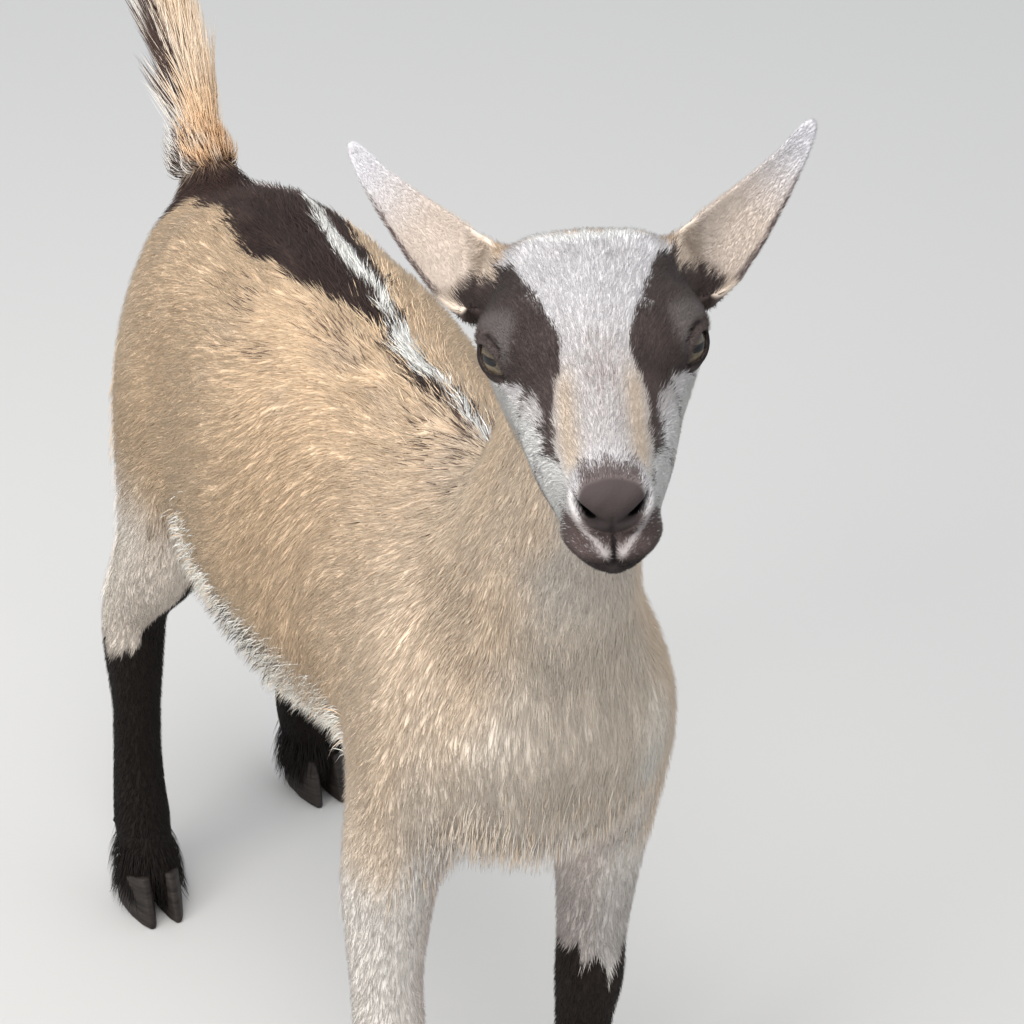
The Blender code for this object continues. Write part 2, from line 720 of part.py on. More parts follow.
def lock(root, outward, lie, fall, length, width, thickness, sink, into):
    """A lock that leaves its sunk root along the lie and bends over to fall at its tip."""
    lie = (lie - outward * lie.dot(outward)).normalized()
    start = root - outward * sink - lie * (0.12 * length)
    bow = root + lie * (0.45 * length) + outward * (0.10 * length)
    tip = root + fall.normalized() * length
    side = outward.cross(lie).normalized()
    bm = bmesh.new()
    rings = []
    for t, wide, thick in ((0.0, 0.80, 1.0), (0.42, 1.0, 0.9), (0.80, 0.72, 0.7)):
        at = start * (1 - t) ** 2 + bow * (2 * t * (1 - t)) + tip * t**2
        way = ((bow - start) * (1 - t) + (tip - bow) * t).normalized()
        across = side * (wide * width / 2)
        high = way.cross(side).normalized() * (thick * thickness / 2)
        rings.append([bm.verts.new(p) for p in (at + across, at + high, at - across, at - high)])
    point = bm.verts.new(tip)
    for low, high in pairwise(rings):
        for i in range(4):
            j = (i + 1) % 4
            bm.faces.new((low[i], low[j], high[j], high[i]))
    for i in range(4):
        bm.faces.new((rings[-1][i], rings[-1][(i + 1) % 4], point))
    bm.faces.new(rings[0][::-1])
    bmesh.ops.recalc_face_normals(bm, faces=bm.faces)
    bmesh.ops.triangulate(bm, faces=bm.faces)
    return object_from(bm, "lock", into)


def tail_locks(into, rng):
    """Rings of locks up the tail, longest on its underside, and a brush at its end."""
    forward = (Vector((0, -1, 0)) - TAIL_LEAN * -TAIL_LEAN.y).normalized()
    across = TAIL_LEAN.cross(forward)
    core = np.array(TAIL_CORE)
    made = []
    for ring, share in enumerate(np.linspace(0.23, 0.74, 4)):
        for k in range(6):
            a = math.tau * (k + 0.5 * (ring % 2) + rng.uniform(-0.15, 0.15)) / 6
            outward = forward * math.cos(a) + across * math.sin(a)
            radius = float(np.interp(share, core[:, 0], core[:, 1]))
            root = tail_at(share) + outward * radius * 0.9
            under = 0.5 - 0.5 * math.cos(a)
            length = (0.056 + 0.014 * under) * rng.uniform(0.9, 1.1)
            fall = TAIL_LEAN + outward * rng.uniform(0.06, 0.22)
            made.append(lock(
                root, outward, TAIL_LEAN + outward * 0.5 + across * rng.uniform(-0.2, 0.2), fall,
                length, 0.027 * rng.uniform(0.9, 1.1), 0.0060, 0.7 * radius, into,
            ))
    return made


def surface_under(thing, start, way):
    """Where a line from start meets thing, and the way that its surface faces there."""
    hit, at, normal, _ = thing.ray_cast(start, way)
    if not hit:
        raise ValueError(f"no surface of {thing.name} from {start}")
    return at, normal


def torso_locks(torso, into, rng):
    """The fringe of the belly, the longer hair on the spine and brisket, and the breeches."""
    places = []
    for side in (1, -1):
        for x, first in ((0.077, 0.068), (0.048, 0.080)):
            for y in np.arange(first, 0.258, 0.024):
                places.append(((side * x, y, 0.20), (0, 0, 1), (side * 0.10, 0.9, -0.3),
                               (side * 0.05, 0.80, -0.58), 0.044, 0.030, 0.0050))
        for z in (0.400, 0.432, 0.464):
            places.append(((side * 0.046, 0.60, z), (0, -1, 0), (side * 0.1, 0.2, -1),
                           (side * 0.05, 0.22, -0.97), 0.044, 0.028, 0.0050))
    for row, x in enumerate((-0.008, 0.008)):
        for y in np.arange(0.030 + 0.015 * row, 0.365, 0.030):
            lean = 0.25 * (2 * row - 1) + rng.uniform(-0.10, 0.10)
            places.append(((x, y, 0.70), (0, 0, -1), (lean, 1, 0), (lean, 1, 0.07),
                           0.050, 0.018, 0.0050))
    for x in np.arange(-0.036, 0.040, 0.018):
        places.append(((x, -0.070, 0.20), (0, 0, 1), (0, 0.9, -0.3), (0, 0.80, -0.60),
                       0.036, 0.026, 0.0050))
    made = []
    for start, way, lie, fall, length, width, thickness in places:
        root, outward = surface_under(torso, Vector(start), Vector(way))
        size = rng.uniform(0.85, 1.15)
        swerve = Vector((rng.uniform(-0.18, 0.18), rng.uniform(-0.12, 0.12), 0))
        made.append(lock(root, outward, Vector(lie) + swerve, Vector(fall) + swerve,
                         length * size, width * rng.uniform(0.9, 1.1), thickness, 0.009, into))
    return made


COATS = {
    # start of a node's name: colour, roughness
    "torso": ((0.55, 0.40, 0.26), 0.85),
    "neck": ((0.66, 0.55, 0.42), 0.85),
    "head": ((0.58, 0.54, 0.50), 0.80),
    "ear": ((0.62, 0.50, 0.40), 0.80),
    "tail": ((0.58, 0.44, 0.32), 0.90),
    "leg_front": ((0.60, 0.52, 0.44), 0.85),
    "leg_hind": ((0.09, 0.07, 0.06), 0.85),
    "eye": ((0.42, 0.37, 0.18), 0.10),
    "claw": ((0.07, 0.06, 0.055), 0.50),
    "dewclaw": ((0.09, 0.075, 0.065), 0.55),
}


def give_materials(nodes):
    made = {start: material(start, *look) for start, look in COATS.items()}
    for name, thing in nodes.items():
        start = next(s for s in COATS if name.startswith(s))
        thing.data.materials.clear()
        thing.data.materials.append(made[start])


def centre_on_floor(nodes):
    """Moves every node so that the middle of the goat's box is over the origin."""
    corners = np.array([
        thing.matrix_world @ Vector(corner) for thing in nodes.values() for corner in thing.bound_box
    ])
    low, high = corners.min(axis=0), corners.max(axis=0)
    middle = Matrix.Translation((-(low[0] + high[0]) / 2, -(low[1] + high[1]) / 2, -low[2]))
    for thing in nodes.values():
        thing.data.transform(middle)


def build():
    clear_scene()
    goat = collection("young_alpine_goat")
    work = collection("work", shown=False)

    trunk = [loft("trunk", trunk_rows(), (0, 0, 1), work, rings=40)]
    trunk.append(egg("crop", (0, -0.090, 0.474), (0.056, 0.046, 0.066), work, turn=(-25, 0, 0)))
    neck = [loft("neck_form", neck_rows(), (0, 1, 0.6), work, rings=26)]
    legs = []
    for side in (1, -1):
        legs.append(loft("foreleg", leg_rows("front", side), (0, -1, 0), work, rings=60, sides=20))
        legs.append(loft("hindleg", leg_rows("hind", side), (0, -1, 0), work, rings=60, sides=20))
        legs.append(loft("hock", hock_rows(side), (0, -1, 0), work, rings=14, sides=14))
    tail = [loft("tail_form", tail_rows(), (0, -1, 0.5), work, rings=22, sides=16)]
    skull = head_pieces(work)

    body = melt("body", trunk + neck + legs + tail + skull, BODY_VOXEL, 8, on_trunk, 4300, work)
    head = melt("head_form", neck + skull, HEAD_VOXEL, 7, on_brow, 2600, work)
    discard(trunk + neck + legs + tail + skull)

    # Thin cuts part the body into the pieces that a person would name.
    size = HEAD_LENGTH / HEAD_DRAWN
    throat_at = head_frame() @ Vector((0, 0.063, -0.043))
    throat_way = head_frame().to_3x3() @ Vector((0, 0.90, -0.43))
    cuts = [
        disc("cut_neck", (-0.012, -0.094, 0.558), (-0.08, -0.50, 0.86), 0.105, work),
        disc("cut_throat", throat_at, throat_way, 0.075 * size, work),
        disc("cut_tail", TAIL_ROOT + TAIL_LEAN * 0.036, TAIL_LEAN, 0.045, work),
    ]
    for side in (1, -1):
        elbow = stood("front", side, 0.075, -0.033, 0.325)
        stifle = stood("hind", side, 0.066, 0.362, 0.338)
        cuts.append(disc("cut_fore", elbow, (side * -0.59, 0, 0.81), 0.057, work))
        cuts.append(disc("cut_hind", stifle, (side * -0.30, -0.34, 0.89), 0.086, work))
    boolean(body, cuts, "CUT")
    seeds = {
        "torso": (0, 0.20, 0.55),
        "neck": (-0.02, -0.06, 0.60),
        "tail": (0, 0.50, 0.68),
    }
    for end, mid_cannon in (("front", (0.068, -0.035, 0.118)), ("hind", (0.066, 0.420, 0.105))):
        for side, word in ((1, "left"), (-1, "right")):
            seeds[f"leg_{end}_{word}"] = stood(end, side, *mid_cannon)
    nodes = part_from(body, seeds, goat)
    rng = np.random.default_rng(LOCK_SEED)
    boolean(nodes["tail"], tail_locks(work, rng), "UNION")
    boolean(nodes["torso"], torso_locks(nodes["torso"], work, rng), "UNION")

    boolean(head, [disc("cut_throat", throat_at, throat_way, 0.075 * size, work)], "CUT")
    nodes |= part_from(head, {"head": head_frame() @ Vector((0, -0.1, -0.02))}, goat)
    head = nodes["head"]
    plain_head = grown(head, GAP, work)
    for side, word in ((1, "left"), (-1, "right")):
        ear = ear_surface(side, goat)
        nodes[ear.name] = boolean(ear, [copy_of(plain_head, "clear_of_head", work)], "DIFFERENCE")
    discard([plain_head])
    lids, openings = [], []
    for side, word in ((1, "left"), (-1, "right")):
        at = head_frame() @ mirrored(EYE_AT, side)
        lids.append(ball("lid", at, EYE_R + LID, work))
        openings.append(lid_opening("opening", side, work))
        openings.append(ball("socket", at, EYE_R + GAP, work))
        nodes[f"eye_{word}"] = ball(f"eye_{word}", at, EYE_R, goat)
    cuts = face_cuts(head, work)
    boolean(head, lids, "UNION")
    boolean(head, openings + cuts, "DIFFERENCE")

    for end in ("front", "hind"):
        for side, word in ((1, "left"), (-1, "right")):
            leg = nodes[f"leg_{end}_{word}"]
            foot = foot_of(end, side)
            boolean(leg, [coronet_block(foot, False, work)], "DIFFERENCE")
            for out, where in ((side, "outer"), (-side, "inner")):
                name = f"claw_{end}_{word}_{where}"
                nodes[name] = claw(name, foot, out, goat)
                name = f"dewclaw_{end}_{word}_{where}"
                nodes[name] = dewclaw(name, foot, out, goat, leg)
    give_materials(nodes)
    centre_on_floor(nodes)


build()
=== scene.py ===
# A young alpine goat, hornless, standing, as a life-size model: skin, coat, eyes and hooves.
# Metres. The goat faces -Y, its left side is +X, and it stands on z = 0.

import math
from collections import namedtuple

import bmesh
import bpy
import numpy as np
import openvdb
from mathutils import Euler, Matrix, Vector


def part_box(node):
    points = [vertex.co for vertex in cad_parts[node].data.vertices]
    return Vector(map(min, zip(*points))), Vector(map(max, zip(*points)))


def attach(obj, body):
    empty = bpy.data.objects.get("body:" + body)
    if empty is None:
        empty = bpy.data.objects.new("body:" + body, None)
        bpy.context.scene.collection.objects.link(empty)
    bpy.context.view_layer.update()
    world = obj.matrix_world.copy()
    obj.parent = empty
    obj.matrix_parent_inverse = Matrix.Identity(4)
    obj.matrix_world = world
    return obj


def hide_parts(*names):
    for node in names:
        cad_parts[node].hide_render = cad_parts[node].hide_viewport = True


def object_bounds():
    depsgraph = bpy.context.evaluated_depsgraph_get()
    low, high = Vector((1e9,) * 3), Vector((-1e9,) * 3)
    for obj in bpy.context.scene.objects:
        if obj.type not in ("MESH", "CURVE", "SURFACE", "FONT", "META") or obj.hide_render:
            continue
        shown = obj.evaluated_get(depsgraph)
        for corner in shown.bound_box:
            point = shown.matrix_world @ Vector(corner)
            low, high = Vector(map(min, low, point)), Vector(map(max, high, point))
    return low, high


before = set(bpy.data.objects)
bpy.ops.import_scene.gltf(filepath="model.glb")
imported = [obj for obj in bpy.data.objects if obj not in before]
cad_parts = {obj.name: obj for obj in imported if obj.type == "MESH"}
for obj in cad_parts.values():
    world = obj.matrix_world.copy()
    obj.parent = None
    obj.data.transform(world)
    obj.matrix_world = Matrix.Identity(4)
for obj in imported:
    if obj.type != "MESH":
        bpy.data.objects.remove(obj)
solids_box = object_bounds()

# The view
# The goat is seen from in front of it, on its right and above, through a long lens.
# The camera is placed from the point between the eyes, which it looks a little past.


def middle(node):
    """The middle of a node's box."""
    low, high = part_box(node)
    return (low + high) / 2


between_eyes = (middle("eye_left") + middle("eye_right")) / 2
CAMERA_FROM_EYES = Vector((-0.568, -0.996, 0.560))
VIEW_YAW, VIEW_PITCH, VIEW_ROLL = math.radians(28.1), math.radians(29.5), math.radians(3.8)
LENS, SENSOR = 98.4, 36.0

ahead = Vector((
    math.sin(VIEW_YAW) * math.cos(VIEW_PITCH),
    math.cos(VIEW_YAW) * math.cos(VIEW_PITCH),
    -math.sin(VIEW_PITCH),
))
level = ahead.cross(Vector((0, 0, 1))).normalized()
upward = level.cross(ahead)
up = upward * math.cos(VIEW_ROLL) - level * math.sin(VIEW_ROLL)
right = upward * math.sin(VIEW_ROLL) + level * math.cos(VIEW_ROLL)
turn = Matrix((right, up, -ahead)).transposed().to_4x4()

camera = bpy.data.objects.new("camera", bpy.data.cameras.new("camera"))
bpy.context.scene.collection.objects.link(camera)
camera.data.lens = LENS
camera.data.sensor_width = SENSOR
camera.matrix_world = Matrix.Translation(between_eyes + CAMERA_FROM_EYES) @ turn
bpy.context.scene.camera = camera
bpy.context.scene.view_settings.view_transform = "Standard"

# The floor and the light
# A plain pale studio floor, lit by a wide soft box overhead, a fill from the front
# and a pale sky all round, as on a bright day with thin cloud.

FLOOR_HALF = 9.0
PALE_FLOOR = (0.52, 0.51, 0.495)


def linked(name, mesh):
    """A new object in the scene, made from a mesh."""
    thing = bpy.data.objects.new(name, mesh)
    bpy.context.scene.collection.objects.link(thing)
    return thing


floor_mesh = bpy.data.meshes.new("floor")
h = FLOOR_HALF
floor_mesh.from_pydata([(-h, -h, 0), (h, -h, 0), (h, h, 0), (-h, h, 0)], [], [(0, 1, 2, 3)])
floor = linked("floor", floor_mesh)
floor_paint = bpy.data.materials.new("floor_paint")
floor_paint.use_nodes = True
floor_shader = floor_paint.node_tree.nodes["Principled BSDF"]
floor_shader.inputs["Base Color"].default_value = (*PALE_FLOOR, 1)
floor_shader.inputs["Roughness"].default_value = 0.8
floor.data.materials.append(floor_paint)

world = bpy.data.worlds.new("pale_sky")
bpy.context.scene.world = world
world.use_nodes = True
sky = world.node_tree.nodes["Background"]
SKY_COLOUR, SKY_STRENGTH = (0.93, 0.96, 1.0), 1.05
sky.inputs["Color"].default_value = (*SKY_COLOUR, 1)
sky.inputs["Strength"].default_value = SKY_STRENGTH


def soft_box(name, place, towards, width, power, colour):
    """A square area light that faces a point."""
    lamp = bpy.data.lights.new(name, "AREA")
    lamp.shape = "SQUARE"
    lamp.size = width
    lamp.energy = power
    lamp.color = colour
    thing = bpy.data.objects.new(name, lamp)
    bpy.context.scene.collection.objects.link(thing)
    way = Vector(towards) - Vector(place)
    thing.matrix_world = Matrix.Translation(place) @ way.to_track_quat("-Z", "Y").to_matrix().to_4x4()


soft_box("overhead", (-0.7, -0.5, 2.4), (0, 0, 0.4), 1.4, 34, (1.0, 0.985, 0.96))
soft_box("side_key", (-2.8, -0.8, 1.8), (0, 0, 0.4), 1.6, 58, (1.0, 0.98, 0.95))

# The skin
# One closed skin over the whole goat, from nose to tail and down into the hooves.
# It lies inside the solids by the depth of the coat, and carries the lids, lips and nostrils.

Field = namedtuple("Field", "values first step")

HEAD_TURN = Euler((math.radians(3.5), math.radians(-6.8), math.radians(-25.3)), "XYZ")
EYE_AT = np.array((0.0362, -0.004, -0.003))
EYE_R = (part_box("eye_left")[1].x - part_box("eye_left")[0].x) / 2
head_axes = np.array(HEAD_TURN.to_matrix())
head_size = (middle("eye_left") - middle("eye_right")).length / (2 * EYE_AT[0])
head_at = np.array(between_eyes) - head_axes @ np.array((0, EYE_AT[1], EYE_AT[2])) * head_size

NOSE_BENDS = [(-0.120, 0.0026), (-0.090, 0.0020), (-0.070, 0.0009), (-0.050, 0.0008),
              (-0.030, 0.0004), (-0.010, 0.0)]
CHEEK_WIDER = [(-0.110, 0.0), (-0.090, 0.0), (-0.080, 0.06), (-0.066, 0.19), (-0.048, 0.18),
               (-0.028, 0.09), (-0.010, 0.0)]


def cheek_share(y, z):
    """How much wider the cheeks are than the plain skull, low down between eye and muzzle."""
    return np.interp(y, *np.array(CHEEK_WIDER).T) * np.clip((-z - 0.006) / 0.020, 0, 1)


def in_head(x, y, z):
    """A point in the head's own frame: x to the goat's left, y back from the nose, z up.
    The muzzle's bend to the left and the cheeks' width are taken out."""
    p = [x - head_at[0], y - head_at[1], z - head_at[2]]
    q = [sum(p[i] * head_axes[i, k] for i in range(3)) / head_size for k in range(3)]
    bend = np.interp(q[1], *np.array(NOSE_BENDS).T)
    return [(q[0] - bend) / (1 + cheek_share(q[1], q[2])), q[1], q[2]]


def from_head(points):
    """The way back from the head's frame, bend and cheeks included."""
    q = np.array(points, float)
    x, y, z = q[..., 0], q[..., 1], q[..., 2]
    q[..., 0] = x * (1 + cheek_share(y, z)) + np.interp(y, *np.array(NOSE_BENDS).T)
    return head_at + (q * head_size) @ head_axes.T


def ramp(value, low, high):
    """0 below low, 1 above high, and smooth between: 3t² - 2t³."""
    t = np.clip((value - low) / (high - low), 0, 1)
    return t * t * (3 - 2 * t)


def unit(rows):
    """Each row divided by its length."""
    return rows / np.maximum(np.linalg.norm(rows, axis=-1, keepdims=True), 1e-12)


def mesh_arrays(names):
    """The points and triangles of several nodes, as one array each."""
    points, faces, count = [], [], 0
    for name in names:
        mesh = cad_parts[name].data
        mesh.calc_loop_triangles()
        co = np.empty(3 * len(mesh.vertices), np.float32)
        mesh.vertices.foreach_get("co", co)
        tri = np.empty(3 * len(mesh.loop_triangles), np.int32)
        mesh.loop_triangles.foreach_get("vertices", tri)
        points.append(co.reshape(-1, 3))
        faces.append(tri.reshape(-1, 3) + count)
        count += len(mesh.vertices)
    return np.concatenate(points), np.concatenate(faces)


def cast(points, faces, step, low, high, reach):
    """The signed distance to closed surfaces, below 0 inside, at every point of a grid.
    It is true up to reach."""
    kind = "triangles" if faces.shape[1] == 3 else "quads"
    grid = openvdb.FloatGrid.createLevelSetFromPolygons(
        np.ascontiguousarray(points, np.float32), halfWidth=reach / step,
        transform=openvdb.createLinearTransform(voxelSize=step),
        **{kind: np.ascontiguousarray(faces, np.uint32)},
    )
    first = np.floor(np.asarray(low) / step).astype(int)
    count = np.ceil(np.asarray(high) / step).astype(int) - first + 1
    values = np.empty(tuple(count), np.float32)
    grid.copyToArray(values, ijk=tuple(int(v) for v in first))
    return Field(values, first, step)


def shell(field, height=0.0):
    """Points and quads of the surface where the distance is height, facing out."""
    grid = openvdb.FloatGrid(float(field.values.max()))
    grid.transform = openvdb.createLinearTransform(voxelSize=field.step)
    grid.copyFromArray(field.values, ijk=tuple(int(v) for v in field.first))
    points, _, quads = grid.convertToPolygons(isovalue=height, adaptivity=0.0)
    return points, quads


def blurred(values, rounds):
    """Each point becomes a quarter of both neighbours and half of itself, on each axis in turn."""
    for _ in range(rounds):
        for axis in range(3):
            later, behind = [slice(None)] * 3, [slice(None)] * 3
            later[axis], behind[axis] = slice(1, None), slice(None, -1)
            half = 0.5 * (values[tuple(later)] + values[tuple(behind)])
            inner = [slice(None)] * 3
            inner[axis] = slice(1, -1)
            values[tuple(inner)] = 0.5 * (half[tuple(later)] + half[tuple(behind)])
    return values


def grid_of(field, low=None, high=None):
    """The part of a grid between two corners, as slices, and its x, y and z as open arrays."""
    size = np.array(field.values.shape)
    a = np.zeros(3, int) if low is None else np.floor(np.asarray(low) / field.step).astype(int) - field.first
    b = size if high is None else np.ceil(np.asarray(high) / field.step).astype(int) - field.first
    a, b = np.clip(a, 0, size), np.clip(b, 0, size)
    axes = [(np.arange(a[i], b[i]) + field.first[i]) * field.step for i in range(3)]
    where = tuple(slice(a[i], b[i]) for i in range(3))
    return where, np.meshgrid(*[v.astype(np.float32) for v in axes], indexing="ij", sparse=True)


def value_at(field, points):
    """The field between its grid points, by trilinear weights."""
    at = points / field.step - field.first
    low = np.clip(np.floor(at).astype(int), 0, np.array(field.values.shape) - 2)
    t = np.clip(at - low, 0, 1)
    total = np.zeros(len(points))
    for corner in np.ndindex(2, 2, 2):
        weight = np.prod(np.where(corner, t, 1 - t), axis=1)
        total += weight * field.values[tuple((low + corner).T)]
    return total


def way_out(field, points):
    """Unit vectors along which the field rises: differences over one step each way."""
    rise = [value_at(field, points + d) - value_at(field, points - d) for d in np.eye(3) * field.step]
    return unit(np.column_stack(rise))


def blend(a, b, soft):
    """The smaller of a and b, with a fillet of size soft: min - h²/4 soft, h = soft - |a - b|."""
    h = np.maximum(soft - np.abs(a - b), 0)
    return np.minimum(a, b) - h * h / (4 * soft)


def carve(a, b, soft):
    """a with b cut away from it, the cut's edge rounded by soft."""
    return -blend(-a, b, soft)


def tube(q, path, radii):
    """Distance to a tube along a path, with a radius at each of its points, joined straight."""
    near = None
    for (a, b), (ra, rb) in zip(zip(path[:-1], path[1:]), zip(radii[:-1], radii[1:])):
        way = np.subtract(b, a)
        t = sum((q[i] - a[i]) * way[i] for i in range(3)) / (way @ way)
        t = np.clip(t, 0, 1)
        d = np.sqrt(sum((q[i] - a[i] - t * way[i]) ** 2 for i in range(3))) - (ra + t * (rb - ra))
        near = d if near is None else np.minimum(near, d)
    return near


# Where the flesh is parted, as in the solids: a point on each cut and the way past it.
THROAT_CUT = (np.array((0, 0.063, -0.043)), unit(np.array((0, 0.90, -0.43))))
mid_x = (middle("claw_front_left_outer").x + middle("claw_front_right_outer").x) / 2
neck_low, neck_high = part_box("neck")
NECK_CUT = (np.array((mid_x - 0.012, neck_high.y - 0.0510, neck_low.z + 0.0316)),
            unit(np.array((-0.08, -0.50, 0.86))))
TAIL_LEAN = unit(np.array((-0.08, 0.52, 0.85)))
tail_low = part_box("tail")[0]
TAIL_CUT = (np.array((mid_x - 0.003, tail_low.y + 0.016, tail_low.z + 0.011)), TAIL_LEAN)


def past(cut, x, y, z):
    """How far a point lies past a cut, along its way: (p - at) · way."""
    at, way = cut
    return (x - at[0]) * way[0] + (y - at[1]) * way[1] + (z - at[2]) * way[2]


def on_head(x, y, z):
    """1 on the head and its ears, 0 on the neck and behind it."""
    q = in_head(x, y, z)
    ears = ramp(np.abs(q[0]), 0.048, 0.058) * ramp(q[2], -0.032, -0.024)
    return np.maximum(ramp(-past(THROAT_CUT, *q), -0.010, 0.006), ears) * ramp(z, 0.60, 0.63)


def coat_depth(x, y, z):
    """How far the skin lies inside the solids: deep on the body, thin on the face and feet."""
    q = in_head(x, y, z)
    depth = 0.0046 - 0.0022 * ramp(0.36 - z, 0, 0.09) - 0.0010 * ramp(0.14 - z, 0, 0.05)
    face = 0.0024 - 0.0014 * ramp(-q[1], 0.00, 0.06) - 0.0013 * ramp(np.abs(q[0]), 0.052, 0.066)
    return depth + (face - depth) * on_head(x, y, z)


BODY_STEP, HEAD_STEP = 0.0040, 0.0010
CLOSE = 0.0012         # widens the nodes until the gaps between them are shut
OPEN = 0.0075          # any form thinner than twice this, such as a lock, is left off the skin
SKIN_IN_FEET = 0.020   # the skin ends this high, inside the claws

FORMS = [
    # hollows and swellings under the skin: x from the middle, y, z, spread, height (below 0 a hollow)
    ("flank_hollow", (0.092, 0.150, 0.455), 0.034, -0.0045),
    ("hip_bone", (0.060, 0.190, 0.533), 0.014, 0.0035),
    ("pin_bone", (0.040, 0.345, 0.490), 0.016, 0.0040),
    ("shoulder_blade", (0.066, -0.095, 0.490), 0.026, 0.0030),
    ("before_shoulder", (0.060, -0.175, 0.500), 0.020, -0.0030),
    ("point_of_shoulder", (0.056, -0.225, 0.440), 0.020, 0.0030),
    ("elbow", (0.082, -0.110, 0.375), 0.014, 0.0025),
    ("behind_elbow", (0.086, -0.060, 0.390), 0.022, -0.0035),
    ("stifle", (0.088, 0.190, 0.370), 0.022, 0.0030),
    ("flank_fold", (0.088, 0.120, 0.360), 0.018, 0.0030),
    ("loin", (0.060, 0.235, 0.508), 0.036, 0.0070),
]


def add_forms(field):
    """Adds each form as a bell of its height and spread, on both sides of the body."""
    for _, (x, y, z), spread, height in FORMS:
        for side in (1, -1):
            at = np.array((mid_x + side * x, y, z))
            where, (gx, gy, gz) = grid_of(field, at - 3 * spread, at + 3 * spread)
            far2 = (gx - at[0]) ** 2 + (gy - at[1]) ** 2 + (gz - at[2]) ** 2
            field.values[where] -= height * np.exp(-far2 / (2 * spread**2))


flesh = [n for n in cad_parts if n.startswith(("torso", "neck", "head", "leg", "tail", "eye", "claw"))]
room = np.array((0.03, 0.03, 0.03))
all_low, all_high = np.array(solids_box[0]) - room, np.array(solids_box[1]) + room
nodes_field = cast(*mesh_arrays(flesh), BODY_STEP, all_low, all_high, 3 * BODY_STEP)
shut = cast(*shell(nodes_field, CLOSE), BODY_STEP, all_low, all_high, 0.020)
core = cast(*shell(shut, -CLOSE - OPEN), BODY_STEP, all_low, all_high, 0.022)
body_field = Field(blurred(core.values - OPEN, 2), core.first, core.step)
add_forms(body_field)
where, (gx, gy, gz) = grid_of(body_field)
body_field.values[where] += coat_depth(gx, gy, gz)
body_field = Field(np.maximum(body_field.values, SKIN_IN_FEET - gz), core.first, core.step)


# The ears are leaf-shaped sheets, rolled into a cup at the root and open towards the tip.
EAR_LENGTH = 0.098
EAR_ROOT = np.array((0.0430, 0.060, -0.010))
EAR_OUT = {1: 0.75, -1: 0.67}
EAR_HALF_WIDTH = [(0.0, 0.0150), (0.18, 0.0172), (0.42, 0.0150), (0.68, 0.0110),
                  (0.88, 0.0070), (0.97, 0.0042), (1.0, 0.0014)]
EAR_ROLL = [(0.0, 2.0), (0.25, 1.25), (0.6, 0.75), (1.0, 0.45)]
EAR_WALL = [(0.0, 0.0040), (0.3, 0.0030), (1.0, 0.0026)]
EAR_BEND = np.array((-0.0024, 0.0042, 0.0108))      # how far the tip sweeps back and up
EAR_UPPER = [(0.0, 1.0), (0.3, 1.0), (0.5, 0.94), (0.68, 0.82), (0.82, 0.72), (0.93, 0.84), (1.0, 1.0)]


def ear_axes(side):
    """Along the ear, across it, and the way that its open side faces, in the head's frame."""
    axis = unit(np.array((side * EAR_OUT[side], 0.62, 0.41)))
    facing = np.array((side * 0.05, -0.80, 0.60))
    facing = unit(facing - axis * (facing @ axis))
    return axis, np.cross(axis, facing), facing


def ear_sheet(side, t, v):
    """The middle of the ear's wall. Along t the centre runs out on the axis and sweeps back;
    across v it follows an arc whose half angle and half width both change with t, and its
    upper half is drawn in towards the tip."""
    axis, across, facing = ear_axes(side)
    half = np.interp(t, *np.array(EAR_HALF_WIDTH).T)
    roll = np.interp(t, *np.array(EAR_ROLL).T)
    centre = EAR_ROOT * (side, 1, 1) + t[..., None] * EAR_LENGTH * axis
    centre = centre + t[..., None] ** 2 * EAR_BEND * (side, 1, 1)
    radius = half / np.sin(np.minimum(roll, math.pi / 2))
    a = v * roll
    upper = v * np.sign(across[2]) > 0
    trim = np.where(upper, np.interp(t, *np.array(EAR_UPPER).T), 1.0)
    return (centre + (radius * np.sin(a) * trim)[..., None] * across
            - (radius * (np.cos(a) - 0.6))[..., None] * facing)


def ear_shell(side, rows=60, columns=40):
    """A closed wall round the sheet: both faces on one grid, v running there and back."""
    t = np.linspace(0, 1, rows)
    v = np.sin(np.linspace(-math.pi / 2, math.pi / 2, columns))
    t, v = np.meshgrid(t, v, indexing="ij")
    sheet = ear_sheet(side, t, v)
    normal = unit(np.cross(np.gradient(sheet, axis=0), np.gradient(sheet, axis=1)))
    wall = np.interp(t, *np.array(EAR_WALL).T) * np.sqrt(np.clip(1.25 - v**2, 0, 1)) / 2
    ridges = 0.0003 * np.cos(5 * math.pi * v) * np.clip(4 * t * (1 - t), 0, 1)
    front = sheet + normal * (wall + ridges)[..., None]
    back = sheet - normal * wall[..., None]
    ring = np.concatenate([front, back[:, ::-1]], axis=1)
    count = ring.shape[1]
    index = np.arange(rows * count).reshape(rows, count)
    after = np.roll(index, -1, axis=1)
    quads = np.stack([index[:-1], after[:-1], after[1:], index[1:]], axis=-1).reshape(-1, 4)
    ends = []
    for row in (index[0], index[-1]):
        for k in range(columns - 1):
            ends.append((row[k], row[k + 1], row[count - 2 - k], row[count - 1 - k]))
    return from_head(ring.reshape(-1, 3)), np.concatenate([quads, np.array(ends)])


